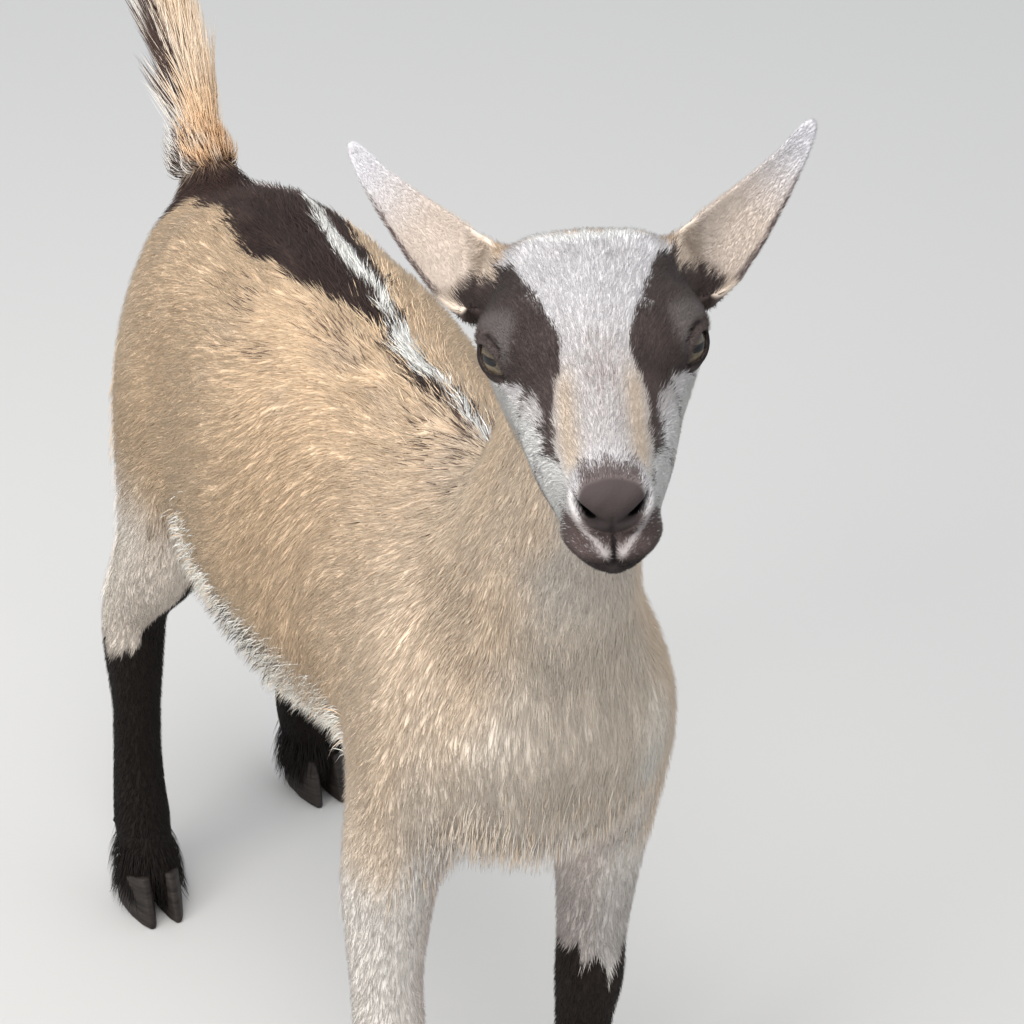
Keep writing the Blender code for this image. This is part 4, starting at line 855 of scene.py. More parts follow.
def head_colour(p, n, chance):
    """A pale blaze between dark eye patches that run down to the muzzle as a line, white cheeks."""
    q = np.column_stack(in_head(*p.T))
    m = n @ head_axes
    x, y, z = np.abs(q[:, 0]), q[:, 1], q[:, 2]
    fine = noise(q * (1, 0.4, 1), 0.0035, 41)
    broad = noise(q, 0.020, 42)
    colour = np.broadcast_to((0.61, 0.588, 0.592), p.shape) * (1 + 0.04 * broad)[:, None]
    colour = tint(colour, (0.44, 0.405, 0.395), 0.75 * ramp(-y, 0.005, 0.045) * ramp(y, -0.094, -0.082))
    flow = noise(q * (1, 0.22, 1), 0.0024, 46)
    streaked = ramp(flow, 0.0, 0.8) * (1 - ramp(x, 0.012, 0.022)) * ramp(y, -0.05, 0.0)
    colour = tint(colour, (0.42, 0.39, 0.40), 0.40 * streaked)
    bridge = (1 - ramp(x, 0.004, 0.012)) * ramp(y, -0.080, -0.055) * (1 - ramp(y, -0.045, -0.020))
    colour = lay(colour, (0.33, 0.27, 0.25), 0.34 * bridge * ramp(fine, -0.8, 0.4), chance)
    cream = np.exp(-((x - 0.0145) / 0.0048) ** 2) * ramp(-y, 0.035, 0.055) * ramp(y, -0.098, -0.086)
    colour = tint(colour, (0.53, 0.43, 0.335), 0.9 * cream)
    colour = tint(colour, (0.60, 0.59, 0.575), ramp(-z, 0.008, 0.016) * ramp(x, 0.012, 0.020))
    jaw_tan = ramp(y + 0.5 * (-z - 0.02), 0.010, 0.050) * ramp(-z, -0.004, 0.012)
    colour = tint(colour, (0.60, 0.47, 0.35), jaw_tan)
    poll = 0.0025 * noise(q * (1, 0.3, 1), 0.006, 47)
    colour = lay(colour, (0.79, 0.78, 0.76), ramp(y + poll, 0.044, 0.050) * ramp(0.030 - x, 0, 0.01), chance)
    colour = lay(colour, (0.50, 0.37, 0.26), ramp(y + poll + 0.3 * x, 0.058, 0.068), chance)
    inner = x - table(y, PATCH_INNER) - 0.0016 * (q[:, 0] < 0) * ramp(y, 0.0, 0.03)
    under_ear = 0.018 * ramp(x, 0.044, 0.052) * ramp(y, 0.020, 0.040)
    outer = np.where(y < -0.036, table(y, PATCH_OUTER) - x, z - table(y, PATCH_LOW) + under_ear)
    inside = np.minimum(np.minimum(inner, outer), 0.086 - y) + 0.0009 * fine + 0.0006 * broad
    shade = PATCH * (1 + 0.30 * noise(q, 0.012, 43))[:, None]
    colour = lay(colour, shade, ramp(inside, -0.0013, 0.0011), chance)
    top_front = ramp(z + 0.6 * np.maximum(x - 0.008, 0), -0.034, -0.024)
    smoke = ramp(-y + 0.0015 * fine, 0.0860, 0.1015) * (1 - 0.85 * ramp(x, 0.010, 0.016)) * top_front
    colour = lay(colour, (0.15, 0.12, 0.115), smoke, chance)
    mouth_z = -0.0455 + 0.10 * np.maximum(x - 0.010, 0)
    muzzle = ramp(-y, 0.088, 0.101) * ramp(-z - 0.25 * x, 0.017, 0.022)
    colour = lay(colour, (0.098, 0.070, 0.065), muzzle * 0.97, chance)
    band_z = table(x, LIP_BAND)
    lip = np.exp(-((z - band_z) / 0.0026) ** 2) * ramp(-y, 0.090, 0.100) * ramp(x, 0.0012, 0.0030)
    colour = lay(colour, (0.50, 0.455, 0.44), lip * (1 - ramp(x, 0.016, 0.019)), chance)
    dark_lip = ramp(-y, 0.050, 0.090) * np.exp(-((z - mouth_z) / 0.0040) ** 2)
    colour = tint(colour, LEATHER * 0.45, dark_lip)
    colour = tint(colour, LEATHER * 0.45, ramp(-z, 0.0455, 0.048) * ramp(-y, 0.080, 0.095) * 0.9)
    chin = ramp(-z, 0.047, 0.052) * ramp(0.086 + y, 0.0, 0.02) * ramp(-y, 0.03, 0.05)
    colour = tint(colour, (0.50, 0.47, 0.45), chin)
    pad = nose_leather(q)
    # painted light on the bare pad: a painted sheen high up, painted shade low down
    pad_sheen_and_shade = table(z, [(-0.031, 0.40), (-0.025, 0.55), (-0.017, 0.80), (-0.010, 0.95)])[:, None]
    colour = colour + (LEATHER * pad_sheen_and_shade - colour) * pad[:, None]
    # painted shade in the hollows of the muzzle: the nostrils, the mouth and the groove of the lip
    hollow = ramp(-value_at(smooth_face, p), 0.0006, 0.0020) * ramp(-y, 0.084, 0.094)
    colour = tint(colour, LEATHER * 0.15, hollow)
    for side in (1, -1):
        rel = q - EYE_AT * (side, 1, 1)
        ball = np.linalg.norm(rel, axis=1) / ball_r
        height = rel @ lid_axes(side)[2]
        above = ramp(height, 0.002, 0.008) * ramp(ball, 1.20, 1.32) * (1 - ramp(ball, 1.38, 1.62))
        colour = tint(colour, GREY * 0.62, 0.40 * above)
        colour = tint(colour, LEATHER * 0.22, 1 - ramp(ball, 1.13, 1.22))
        wet_rim = (1 - ramp(ball, 1.05, 1.08)) * ramp(-height, 0, 0.003)
        colour = tint(colour, (0.100, 0.072, 0.066), wet_rim)
        # the cream of the ear runs down over its root, in front and above, to a slanting edge
        out = q[:, 0] * side
        root_edge = q[:, 2] - table(out, EAR_ROOT_LINE)
        corner_tan = ramp(root_edge, -0.0012, 0.0020) * ramp(out, 0.0385, 0.0415) * ramp(y, 0.036, 0.046)
        colour = lay(colour, (0.64, 0.53, 0.43), corner_tan, chance)
        t, v = ear_place(q, side)
        axis, across, facing = ear_axes(side)
        ear = on_ear(q, side)
        if not ear.any():
            continue
        inside_ear = ramp(m @ facing, -0.1, 0.3)
        front_ear = np.broadcast_to((0.56, 0.475, 0.41), p.shape)
        front_ear = tint(front_ear, (0.55, 0.535, 0.555), ramp(t, 0.45, 0.95))
        back_ear = np.broadcast_to((0.52, 0.43, 0.35), p.shape)
        back_ear = tint(back_ear, (0.54, 0.52, 0.52), ramp(t, 0.60, 0.95))
        shade = back_ear + (front_ear - back_ear) * inside_ear[:, None]
        low_side = v * np.sign(across[2]) * -1
        shade = lay(shade, PATCH * 1.8, ramp(low_side, 0.80, 0.94) * ramp(0.90 - t, 0, 0.25) * 0.85, chance)
        root_dark = ramp(low_side - 1.5 * t, 0.20, 0.50) * (1 - ramp(root_edge, -0.0012, 0.0020))
        shade = lay(shade, PATCH * 1.1, root_dark, chance)
        shade = shade * (1 + 0.05 * noise(q, 0.006, 45))[:, None]
        colour = colour + (shade - colour) * ear[:, None]
    return colour


def nose_leather(q):
    """1 on the bare pad between the nostrils and inside them, 0 on haired skin."""
    x, y, z = np.abs(q[:, 0]), q[:, 1], q[:, 2]
    top = 0.1030 + 16.0 * np.maximum(x - 0.004, 0) ** 2
    low = table(x, [(0.0, -0.0310), (0.004, -0.0300), (0.010, -0.0262), (0.015, -0.0205), (0.018, -0.0160)])
    front = ramp(-y + 0.20 * (z + 0.014), top, top + 0.0035) * ramp(z, low, low + 0.0016)
    front = front * (1 - ramp(x, 0.0160, 0.0178))
    groove = (1 - ramp(x, 0.0010, 0.0020)) * ramp(-y, 0.1050, 0.1075) * ramp(z, -0.0445, -0.0430)
    return np.maximum(front, groove)


def coat_colour(p, n, chance=None):
    """The body's colour, and over it that of the neck, each leg, the head and the tail by its weight."""
    head, neck, tail, legs = regions(p)
    colour = body_colour(p, n, chance)
    colour = colour + (neck_colour(p, n, chance) - colour) * neck[:, None]
    for k, share in enumerate(legs):
        near = share > 0
        colour[near] += (leg_colour(p[near], n[near], k, None if chance is None else chance[near])
                         - colour[near]) * share[near, None]
    near = head > 0
    colour[near] += (head_colour(p[near], n[near], None if chance is None else chance[near])
                     - colour[near]) * head[near, None]
    near = tail > 0
    colour[near] += (tail_colour(p[near], n[near], None if chance is None else chance[near])
                     - colour[near]) * tail[near, None]
    return np.clip(colour, 0.004, 0.90)


def tail_colour(p, n, chance):
    """Ginger-cream in front and on the goat's left, white and grey-black behind and on the right."""
    along = past(TAIL_CUT, *p.T)
    warm = ramp(0.75 * n[:, 0] - 0.66 * n[:, 1] + 0.16 * noise(p * (1, 1, 0.4), 0.010, 52), -0.50, 0.45)
    colour = tint(np.broadcast_to(WHITE, p.shape), TAN * (1.02, 1.06, 1.12), warm)
    colour = tint(colour, CREAM * 1.08, ramp(along, 0.02, 0.05) * ramp(0.085 - along, 0, 0.03) * 0.6)
    colour = tint(colour, GINGER, ramp(0.050 - along, 0, 0.04) * ramp(warm, 0.4, 0.9) * 0.7)
    dark = 0.85 * ramp(1 - warm, 0.35, 0.9) * ramp(noise(p * (1, 1, 0.3), 0.010, 51), -0.6, 0.2)
    return lay(colour, SADDLE * 1.8, dark * ramp(along, 0.01, 0.04), chance)


def point_arrays(mesh):
    """The points of a mesh and its normals at them."""
    points, normals = (np.empty(3 * len(mesh.vertices), np.float32) for _ in range(2))
    mesh.vertices.foreach_get("co", points)
    mesh.vertices.foreach_get("normal", normals)
    return points.reshape(-1, 3).astype(float), normals.reshape(-1, 3).astype(float)


def set_colours(mesh, colours):
    """Keeps a colour for each point of a mesh, as its attribute coat."""
    layer = mesh.attributes.new("coat", "FLOAT_COLOR", "POINT")
    rows = np.concatenate([colours, np.ones((len(colours), 1))], axis=1)
    layer.data.foreach_set("color", rows.astype(np.float32).ravel())


skin_points, skin_normals = point_arrays(skin.data)
set_colours(skin.data, coat_colour(skin_points, skin_normals))


def hair_paint(name, roughness, bump):
    """A paint that takes its colour from the mesh and adds fine strands as a bump."""
    paint = bpy.data.materials.new(name)
    paint.use_nodes = True
    nodes, links = paint.node_tree.nodes, paint.node_tree.links
    shader = nodes["Principled BSDF"]
    shader.inputs["Roughness"].default_value = roughness
    shader.inputs["Specular IOR Level"].default_value = 0.15
    colour = nodes.new("ShaderNodeAttribute")
    colour.attribute_name = "coat"
    links.new(colour.outputs["Color"], shader.inputs["Base Color"])
    if bump:
        place = nodes.new("ShaderNodeTexCoord")
        grain = nodes.new("ShaderNodeTexNoise")
        grain.inputs["Scale"].default_value = 900.0
        grain.inputs["Detail"].default_value = 2.0
        raised = nodes.new("ShaderNodeBump")
        raised.inputs["Distance"].default_value = bump
        raised.inputs["Strength"].default_value = 0.6
        links.new(place.outputs["Object"], grain.inputs["Vector"])
        links.new(grain.outputs["Fac"], raised.inputs["Height"])
        links.new(raised.outputs["Normal"], shader.inputs["Normal"])
    return paint


skin.data.materials.append(hair_paint("skin_paint", 0.75, 0.0004))

# The coat
# Short hair that lies back along the body and down the legs. Each tuft is a thin closed
# spike, rooted in the skin and laid close over it.

TUFTS = 0.97     # scales the number of tufts
random = np.random.default_rng(27)


def lie_of(p, n):
    """The way the hair lies, along the surface."""
    head, neck, tail, legs = regions(p)
    x, y, z = p[:, 0] - mid_x, p[:, 1], p[:, 2]
    side = np.sign(x)
    down = 0.15 + 0.75 * ramp(1 - n[:, 2], 0.2, 0.9) + 1.6 * ramp(-y, 0.02, 0.16) + 1.5 * ramp(y, 0.22, 0.34)
    way = np.column_stack([0.10 * side * ramp(n[:, 2], 0.3, 0.9), np.ones(len(p)), -down])
    chest = ramp(-n[:, 1], 0.0, 0.4)[:, None]
    way = way + (np.array((0, -0.1, -1.0)) * 2 - way) * chest
    down_neck = np.column_stack([0.0 * x, 0.30 + 0 * y, -1.0 + 0 * z])
    way = way + (down_neck - way) * neck[:, None]
    for k, share in enumerate(legs):
        way = way + (np.array((0, 0.25 if k > 1 else 0.15, -1.0)) - way) * share[:, None]
    way = way + (TAIL_LEAN - way) * tail[:, None]
    q = np.column_stack(in_head(*p.T))
    m = n @ head_axes
    ax = np.abs(q[:, 0])
    fan = 0.12 + 14 * np.maximum(ax - 0.004, 0) * ramp(q[:, 1], -0.03, 0.03)
    over = np.column_stack([np.sign(q[:, 0]) * fan * ramp(ax, 0.0, 0.006), np.ones(len(p)), 0.2 + 0 * ax])
    cheek = np.column_stack([0 * ax, 0.7 + 0 * ax, -0.8 + 0 * ax])
    below = ramp(-q[:, 2] - 0.25 * m[:, 2] * 0.02, 0.000, 0.018) * ramp(ax, 0.012, 0.022)
    local = over + (cheek - over) * below[:, None]
    behind = ramp(q[:, 1], 0.058, 0.075)[:, None]
    local = local + (np.array((0, 0.6, -1.0)) - local) * behind
    for ear_side in (1, -1):
        local = local + (ear_axes(ear_side)[0] - local) * on_ear(q, ear_side)[:, None]
    way = way + (local @ head_axes.T - way) * head[:, None]
    way = way - n * (way * n).sum(1, keepdims=True)
    return unit(way)


def turned(way, about, angle):
    """Vectors square to an axis, turned about it: way cos a + (axis × way) sin a."""
    return way * np.cos(angle)[:, None] + np.cross(about, way) * np.sin(angle)[:, None]


FACE_LENGTH = [(-0.105, 0.0022), (-0.09, 0.0032), (-0.05, 0.0050), (0.0, 0.0062), (0.05, 0.0085)]


def hair_size(p, n):
    """Length and width of a tuft, and how many times over the tufts cover the skin."""
    head, neck, tail, legs = regions(p)
    y, z = p[:, 1], p[:, 2]
    leg = sum(legs)
    length = 0.0165 + 0.005 * ramp(-n[:, 1], 0.3, 0.8) * (y < -0.1) + 0.006 * ramp(-n[:, 2], 0.2, 0.7)
    length = length + (0.0130 - length) * neck
    length = length + ((0.0065 + 0.005 * ramp(z, 0.12, 0.32)) - length) * leg
    width = 0.00098 - 0.00008 * neck - 0.00022 * ramp(-n[:, 1], 0.2, 0.7) * (y < -0.1)
    width = width + (0.00085 - width) * leg
    cover = 2.5 - 0.3 * neck
    cover = cover + (1.25 - cover) * leg
    q = np.column_stack(in_head(*p.T))
    face_length = table(q[:, 1], FACE_LENGTH)
    face_length = face_length + 0.0025 * ramp(-q[:, 2], 0.02, 0.05) * ramp(q[:, 1], -0.05, 0.0)
    near_eye = np.minimum(*[np.linalg.norm(q - EYE_AT * (s, 1, 1), axis=1) for s in (1, -1)]) - ball_r
    face_length = face_length * (0.35 + 0.65 * ramp(near_eye, 0.002, 0.010))
    ears = on_ear(q, 1) + on_ear(q, -1)
    face_length = face_length + (0.0034 - face_length) * ears
    length = length + (face_length - length) * head
    width = width + ((0.00026 + 0.020 * face_length) - width) * head
    cover = cover + ((1.50 - 0.25 * ears) - cover) * head
    bare = np.maximum(nose_leather(q), 1 - ramp(near_eye, 0.0022, 0.0034)) * head
    mouth = head * (q[:, 1] < -0.045) * np.exp(-((q[:, 2] + 0.0448) / 0.0014) ** 2)
    cover = cover * (1 - np.maximum(bare, mouth))
    return length, width, cover * ramp(z, 0.022, 0.026)


def sown(mesh, asked):
    """Places for hair on a mesh's triangles, asked(points, normals) of them to a square metre."""
    mesh.calc_loop_triangles()
    tri = np.empty(3 * len(mesh.loop_triangles), np.int32)
    mesh.loop_triangles.foreach_get("vertices", tri)
    tri = tri.reshape(-1, 3)
    points, normals = point_arrays(mesh)
    a, b, c = (points[tri[:, k]] for k in range(3))
    area = np.linalg.norm(np.cross(b - a, c - a), axis=1) / 2
    wanted = np.cumsum(asked((a + b + c) / 3, unit(normals[tri].sum(1))) * area)
    count = int(wanted[-1])
    at = np.searchsorted(wanted, (np.arange(count) + random.random(count)) * wanted[-1] / count)
    at = np.minimum(at, len(tri) - 1)
    u, v = random.random((2, count, 1))
    flip = u + v > 1
    u, v = np.where(flip, 1 - u, u), np.where(flip, 1 - v, v)
    place = a[at] + u * (b - a)[at] + v * (c - a)[at]
    na, nb, nc = (normals[tri[at, k]] for k in range(3))
    return place, unit(na + u * (nb - na) + v * (nc - na))


def settled(points, heights, on_face):
    """Points moved straight out or in until they are at their heights above the skin."""
    for field, chosen in ((body_field, ~on_face), (face, on_face)):
        p = points[chosen]
        for _ in range(2):
            p = p + way_out(field, p) * (heights[chosen] - value_at(field, p))[:, None]
        points[chosen] = p
    return points


PATCH_ACROSS = 0.003                    # of the bake map, for one tuft
# Painted shade among the hairs: each hair is darkened towards its root, and paler at its tip.
ROOT_PAINTED_SHADE, TIP_SHADE = 0.90, 1.06      # a hair is darker at its root and paler at its tip
RIDGE = 0.55                            # a blade's ridge stands this high, of half its width


def hair_mesh(name, paths, widths, outward, colours, places, paint):
    """Closed three-sided blades along paths: two edges and a low ridge at each station, and a tip.
    Each is laid on its own small patch of the bake map, at the place of its root."""
    count, stations = paths.shape[0], paths.shape[1] - 1
    along = unit(np.gradient(paths, axis=1)) if stations > 1 else unit(paths[:, 1:] - paths[:, :1])
    along = along[:, :stations]
    across = unit(np.cross(along, np.broadcast_to(outward[:, None], along.shape)))
    ridge = np.cross(across, along)
    w = widths[:, :, None] / 2
    base = paths[:, :stations]
    rings = np.stack([base - across * w, base + across * w, base + ridge * w * RIDGE], axis=2)
    points = np.concatenate([rings.reshape(count, -1, 3), paths[:, -1:]], axis=1)
    each = points.shape[1]
    faces, spots = [[0, 1, 2]], [[(0.4, 0.0), (0.6, 0.0), (0.5, 0.05)]]
    for j in range(stations - 1):
        for k in range(3):
            m = (k + 1) % 3
            faces.append([3 * j + m, 3 * j + k, 3 * j + 3 + k, 3 * j + 3 + m])
            u0, u1, v0, v1 = (k + 1) / 3, k / 3, j / stations, (j + 1) / stations
            spots.append([(u0, v0), (u1, v0), (u1, v1), (u0, v1)])
    for k in range(3):
        faces.append([3 * stations - 3 + (k + 1) % 3, 3 * stations - 3 + k, each - 1])
        v0 = (stations - 1) / stations
        spots.append([((k + 1) / 3, v0), (k / 3, v0), ((k + 0.5) / 3, 1.0)])
    corner = np.array([v for f in faces for v in f])
    spot = np.array([uv for s in spots for uv in s])
    sizes = np.array([len(f) for f in faces])
    starts = np.concatenate([[0], np.cumsum(sizes)[:-1]])
    steps = np.arange(count)[:, None]
    mesh = bpy.data.meshes.new(name)
    mesh.vertices.add(count * each)
    mesh.vertices.foreach_set("co", points.astype(np.float32).ravel())
    mesh.loops.add(count * len(corner))
    mesh.loops.foreach_set("vertex_index", (corner + steps * each).astype(np.int32).ravel())
    mesh.polygons.add(count * len(faces))
    mesh.polygons.foreach_set("loop_start", (starts + steps * len(corner)).astype(np.int32).ravel())
    mesh.update(calc_edges=True)
    mesh.shade_smooth()
    # painted shade: each blade darker at its root, paler towards its tip
    shade = np.linspace(ROOT_PAINTED_SHADE, TIP_SHADE, stations + 1)
    rows = np.concatenate([np.repeat(shade[:-1], 3), shade[-1:]])
    set_colours(mesh, np.clip(colours[:, None] * rows[:, None], 0, 0.92).reshape(-1, 3))
    layer = mesh.uv_layers.new(name="OFBake")
    patch_middle = PATCH_ACROSS / 2 + places * (1 - PATCH_ACROSS)
    uv = patch_middle[:, None] + (spot - 0.5) * PATCH_ACROSS
    layer.data.foreach_set("uv", uv.astype(np.float32).ravel())
    mesh.materials.append(paint)
    thing = linked(name, mesh)
    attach(thing, "root")


def round_about(p, centre, axis):
    """A place on an unwrap: the turn about an axis, and the way along it, each in 0..1."""
    axis = unit(np.asarray(axis, float))
    one = unit(np.cross(axis, (0.3, 0.2, 0.9) if abs(axis[2]) < 0.8 else (0.9, 0.2, 0.1)))
    two = np.cross(axis, one)
    rel = p - centre
    share_round = np.arctan2(rel @ two, rel @ one) / (2 * math.pi) + 0.5
    far = rel @ axis
    return np.column_stack([share_round, (far - far.min()) / max(np.ptp(far), 1e-6)])


def short_hair(p, n):
    """Tufts to a square metre: the cover asked for, over the area of one spike."""
    length, width, cover = hair_size(p, n)
    return TUFTS * cover / (0.5 * length * width)


root, out = sown(skin.data, short_hair)
lie = lie_of(root, out)
SWING, STRAY = math.radians(9), math.radians(7)     # of whole patches of hair, and of each tuft
swing = SWING * (noise(root, 0.035, 61) + noise(root, 0.0065, 62))
swing = swing + STRAY * random.standard_normal(len(root))
lie = turned(lie, out, swing)
length, width, _ = hair_size(root, out)
length = length * random.uniform(0.70, 1.25, len(root))
width = width * random.uniform(0.8, 1.3, len(root))
depth = coat_depth(*root.T)
head_share, neck_share, tail_share, leg_shares = regions(root)
on_face = root[:, 2] > JOIN + 0.004
on_face &= (root[:, 1] < 0)
tip = root + lie * length[:, None]
tip = settled(tip, depth * random.uniform(0.40, 1.00, len(root)), on_face)
start = root - out * (0.25 * depth)[:, None]
chance = random.random(len(root))
hair_colour = coat_colour(root, out, chance)
tone = 1 + (0.08 - 0.03 * head_share) * random.standard_normal(len(root)) + 0.05 * noise(root, 0.0065, 63)
hair_colour = np.clip(hair_colour * np.clip(tone, 0.65, 1.35)[:, None], 0.003, 0.92)

q_root = np.column_stack(in_head(*root.T))
ear_left_here = (on_ear(q_root, 1) > 0.5) & on_face
ear_right_here = (on_ear(q_root, -1) > 0.5) & on_face
head_here = (head_share > 0.5) & ~ear_left_here & ~ear_right_here
neck_here = (neck_share > 0.5) & ~head_here & ~ear_left_here & ~ear_right_here
tail_here = tail_share > 0.5
leg_here = [share > 0.5 for share in leg_shares]
rest = ~(head_here | neck_here | tail_here | ear_left_here | ear_right_here | np.any(leg_here, axis=0))

paints = {slot: hair_paint(slot + "_hair", 0.62, 0.0) for slot in (
    "coat_body", "coat_neck", "coat_head", "coat_ears", "coat_tail", "coat_forelegs", "coat_hindlegs")}
barrel = np.array((mid_x, 0.05, 0.45))


def coat_piece(name, slot, chosen, centre, axis):
    """One piece of short hair, from the tufts that are chosen, its bake map turned about an axis."""
    paths = np.stack([start[chosen], tip[chosen]], axis=1)
    hair_mesh(name, paths, width[chosen, None], out[chosen], hair_colour[chosen],
              round_about(root[chosen], centre, axis), paints[slot])


y_root = root[:, 1]
for name, low_y, high_y in (("shoulder_hair", -1, -0.085), ("barrel_hair", -0.085, 0.055),
                            ("flank_hair", 0.055, 0.195), ("rump_hair", 0.195, 1)):
    chosen = rest & (y_root > low_y) & (y_root <= high_y)
    coat_piece(name, "coat_body", chosen, barrel, (0, 1, 0))
coat_piece("neck_hair", "coat_neck", neck_here, NECK_CUT[0], (0, -0.25, 1))
coat_piece("tail_hair", "coat_tail", tail_here, TAIL_CUT[0], TAIL_LEAN)
for k, name in enumerate(LEGS):
    slot = "coat_forelegs" if k < 2 else "coat_hindlegs"
    heights, middles = leg_lines[k]
    coat_piece(name.replace("leg_", "") + "_leg_hair", slot, leg_here[k], (*middles[8], 0.2), (0, 0, 1))
eye_axis = head_axes @ np.array((0, -1, -0.2))
coat_piece("face_hair", "coat_head", head_here & (q_root[:, 1] < -0.012), head_at - (0, 0, 0.02), eye_axis)
coat_piece("crown_hair", "coat_head", head_here & (q_root[:, 1] >= -0.012), head_at - (0, 0, 0.02), eye_axis)
for side, chosen, name in ((1, ear_left_here, "left_ear_hair"), (-1, ear_right_here, "right_ear_hair")):
    middle_ear = from_head(EAR_ROOT * (side, 1, 1))
    coat_piece(name, "coat_ears", chosen, middle_ear, head_axes @ ear_axes(side)[0])

# The long hair
# Softer, longer hair on the tail, spine, belly, brisket, elbows and the backs of the thighs,
# and a fringe over the hooves. Each strand is rooted in the skin, leaves it one way and turns
# to another.


def strands(name, slot, asked, length_range, width_mid, leave, turn_to, lift, sink=0.0008, shade=None, seed=1,
            centre=None, axis=(0, 1, 0), stations=3, spread=12.0, low=0.0):
    """Long strands rooted where asked, each a curve r + L (t leave + t²/2 (turn - leave))."""
    p, n = sown(skin.data, asked)
    count = len(p)
    size = random.uniform(*length_range, count)
    one = unit(leave(p, n))
    two = unit(turn_to(p, n))
    swing = np.radians(spread) * (0.6 * noise(p, 0.016, seed) + 0.6 * noise(p, 0.0055, seed + 1)
                                  + 0.45 * random.standard_normal(count))
    one, two = turned(one, n, swing), turned(two, n, swing * 1.3)
    t = np.linspace(0, 1, stations + 1)[None, :, None]
    paths = p[:, None] + size[:, None, None] * (t * one[:, None] + t**2 / 2 * (two - one)[:, None])
    paths[:, 0] -= n * sink
    heights = np.linspace(0, 1, stations + 1)[1:]
    upper = (p[:, 2] > JOIN + 0.004) & (p[:, 1] < 0)
    for j, part in enumerate(heights, 1):
        at = paths[:, j]
        for field, chosen in ((body_field, ~upper), (face, upper)):
            if chosen.any():
                q = at[chosen]
                short = lift * part * random.uniform(0.6, 1.2, len(q)) - value_at(field, q)
                at[chosen] = q + way_out(field, q) * np.maximum(short, 0)[:, None]
        at[:, 2] = np.maximum(at[:, 2], low)
    taper = np.array([1.0, 0.92, 0.62, 0.4])[:stations]
    widths = width_mid * random.uniform(0.75, 1.3, count)[:, None] * taper[None]
    chance = random.random(count)
    colours = coat_colour(p, n, chance) if shade is None else shade(p, n, chance)
    colours = colours * np.clip(1 + 0.09 * random.standard_normal(count), 0.7, 1.3)[:, None]
    places = round_about(p, p.mean(0) if centre is None else centre, axis)
    hair_mesh(name, paths, widths, n, np.clip(colours, 0.003, 0.92), places, paints[slot])


# Of each kind of long hair, room gives how many strands grow on a square metre, leave and turn the
# ways in which a strand starts and ends, and shade its colours where they aren't the coat's own.


def tail_room(p, n):
    along = past(TAIL_CUT, *p.T)
    return 150000 * ramp(along, 0.004, 0.02) * (p[:, 1] > 0.30)


def tail_leave(p, n):
    along = past(TAIL_CUT, *p.T)[:, None]
    return TAIL_LEAN + n * (0.42 - 1.6 * along)


def tail_turn(p, n):
    return TAIL_LEAN + n * 0.16 + np.array((-0.05, 0.10, -0.10))


strands("tail_long_hair", "coat_tail", tail_room, (0.026, 0.054), 0.0009, tail_leave, tail_turn, 0.004,
        seed=70, axis=TAIL_LEAN, spread=13)


def curl_room(p, n):
    along = past(TAIL_CUT, *p.T)
    root_only = ramp(along, -0.010, 0.004) * ramp(0.034 - along, 0, 0.02)
    return 420000 * root_only * (p[:, 1] > 0.30) * (n[:, 2] > -0.2)


def curl_leave(p, n):
    return n * 0.7 + np.array((-0.6, -0.3, -0.1))


def curl_turn(p, n):
    return TAIL_LEAN * 1.3 + n * 0.05


def curl_shade(p, n, chance):
    colour = tint(np.broadcast_to(GINGER, p.shape), CREAM, ramp(noise(p, 0.008, 75), -0.3, 0.7))
    right = ramp(-0.75 * n[:, 0] + 0.66 * n[:, 1] + 0.2 * noise(p, 0.010, 76), 0.0, 0.5)
    colour = tint(colour, WHITE * 0.95, right)
    return lay(colour, SADDLE * 2.0, 0.05 + 0.40 * right, chance)


strands("tail_curl", "coat_tail", curl_room, (0.018, 0.027), 0.0009, curl_leave, curl_turn, 0.003,
        shade=curl_shade, seed=74, axis=TAIL_LEAN, spread=12)


def spine_room(p, n):
    x, y = p[:, 0] - mid_x - table(p[:, 1], STREAK_AT), p[:, 1]
    along = ramp(y, -0.12, 0.02) * ramp(0.335 - y, 0, 0.03)
    return 110000 * np.exp(-(x / 0.018) ** 2) * along * (n[:, 2] > 0.3)


def spine_leave(p, n):
    side = np.sign(noise(p, 0.030, 77)) * 0.20
    return np.column_stack([side, 1 + 0 * side, 0.26 + 0 * side])


def spine_turn(p, n):
    side = noise(p, 0.020, 78) * 0.6
    return np.column_stack([side, 1 + 0 * side, -0.15 + 0 * side])


strands("spine_hair", "coat_body", spine_room, (0.016, 0.027), 0.0008, spine_leave, spine_turn, 0.0048,
        seed=79, centre=barrel, spread=11)


def belly_room(p, n):
    y = p[:, 1]
    edge = ramp(-n[:, 2], 0.02, 0.35) * ramp(0.392 - p[:, 2], 0.0, 0.02)
    return 115000 * edge * ramp(y, -0.12, -0.07) * ramp(0.18 - y, 0, 0.05)


def belly_leave(p, n):
    return n * 0.08 + np.array((0, 1.0, -0.30))


def belly_turn(p, n):
    return np.array((0, 0.55, -1.0)) + n * np.array((0.05, 0, 0))


def belly_shade(p, n, chance):
    x, y, z = p[:, 0] - mid_x, p[:, 1], p[:, 2]
    colour = lay(np.broadcast_to(SNOW * (0.95, 0.93, 0.90), p.shape), CREAM, 0.30 + 0 * x, chance)
    colour = lay(colour, TAN, 0.8 * ramp(-n[:, 2], 0.25, 0.02), chance)
    dark = np.exp(-((y - 0.030) / 0.030) ** 2 - ((z - 0.360) / 0.016) ** 2)
    dark = dark * ramp(noise(p, 0.018, 80), -0.7, 0.1)
    return lay(colour, GREY * 0.40, 0.9 * dark, chance)


strands("belly_fringe", "coat_body", belly_room, (0.020, 0.044), 0.00078, belly_leave, belly_turn, 0.0034,
        shade=belly_shade, seed=81, centre=barrel, spread=11)


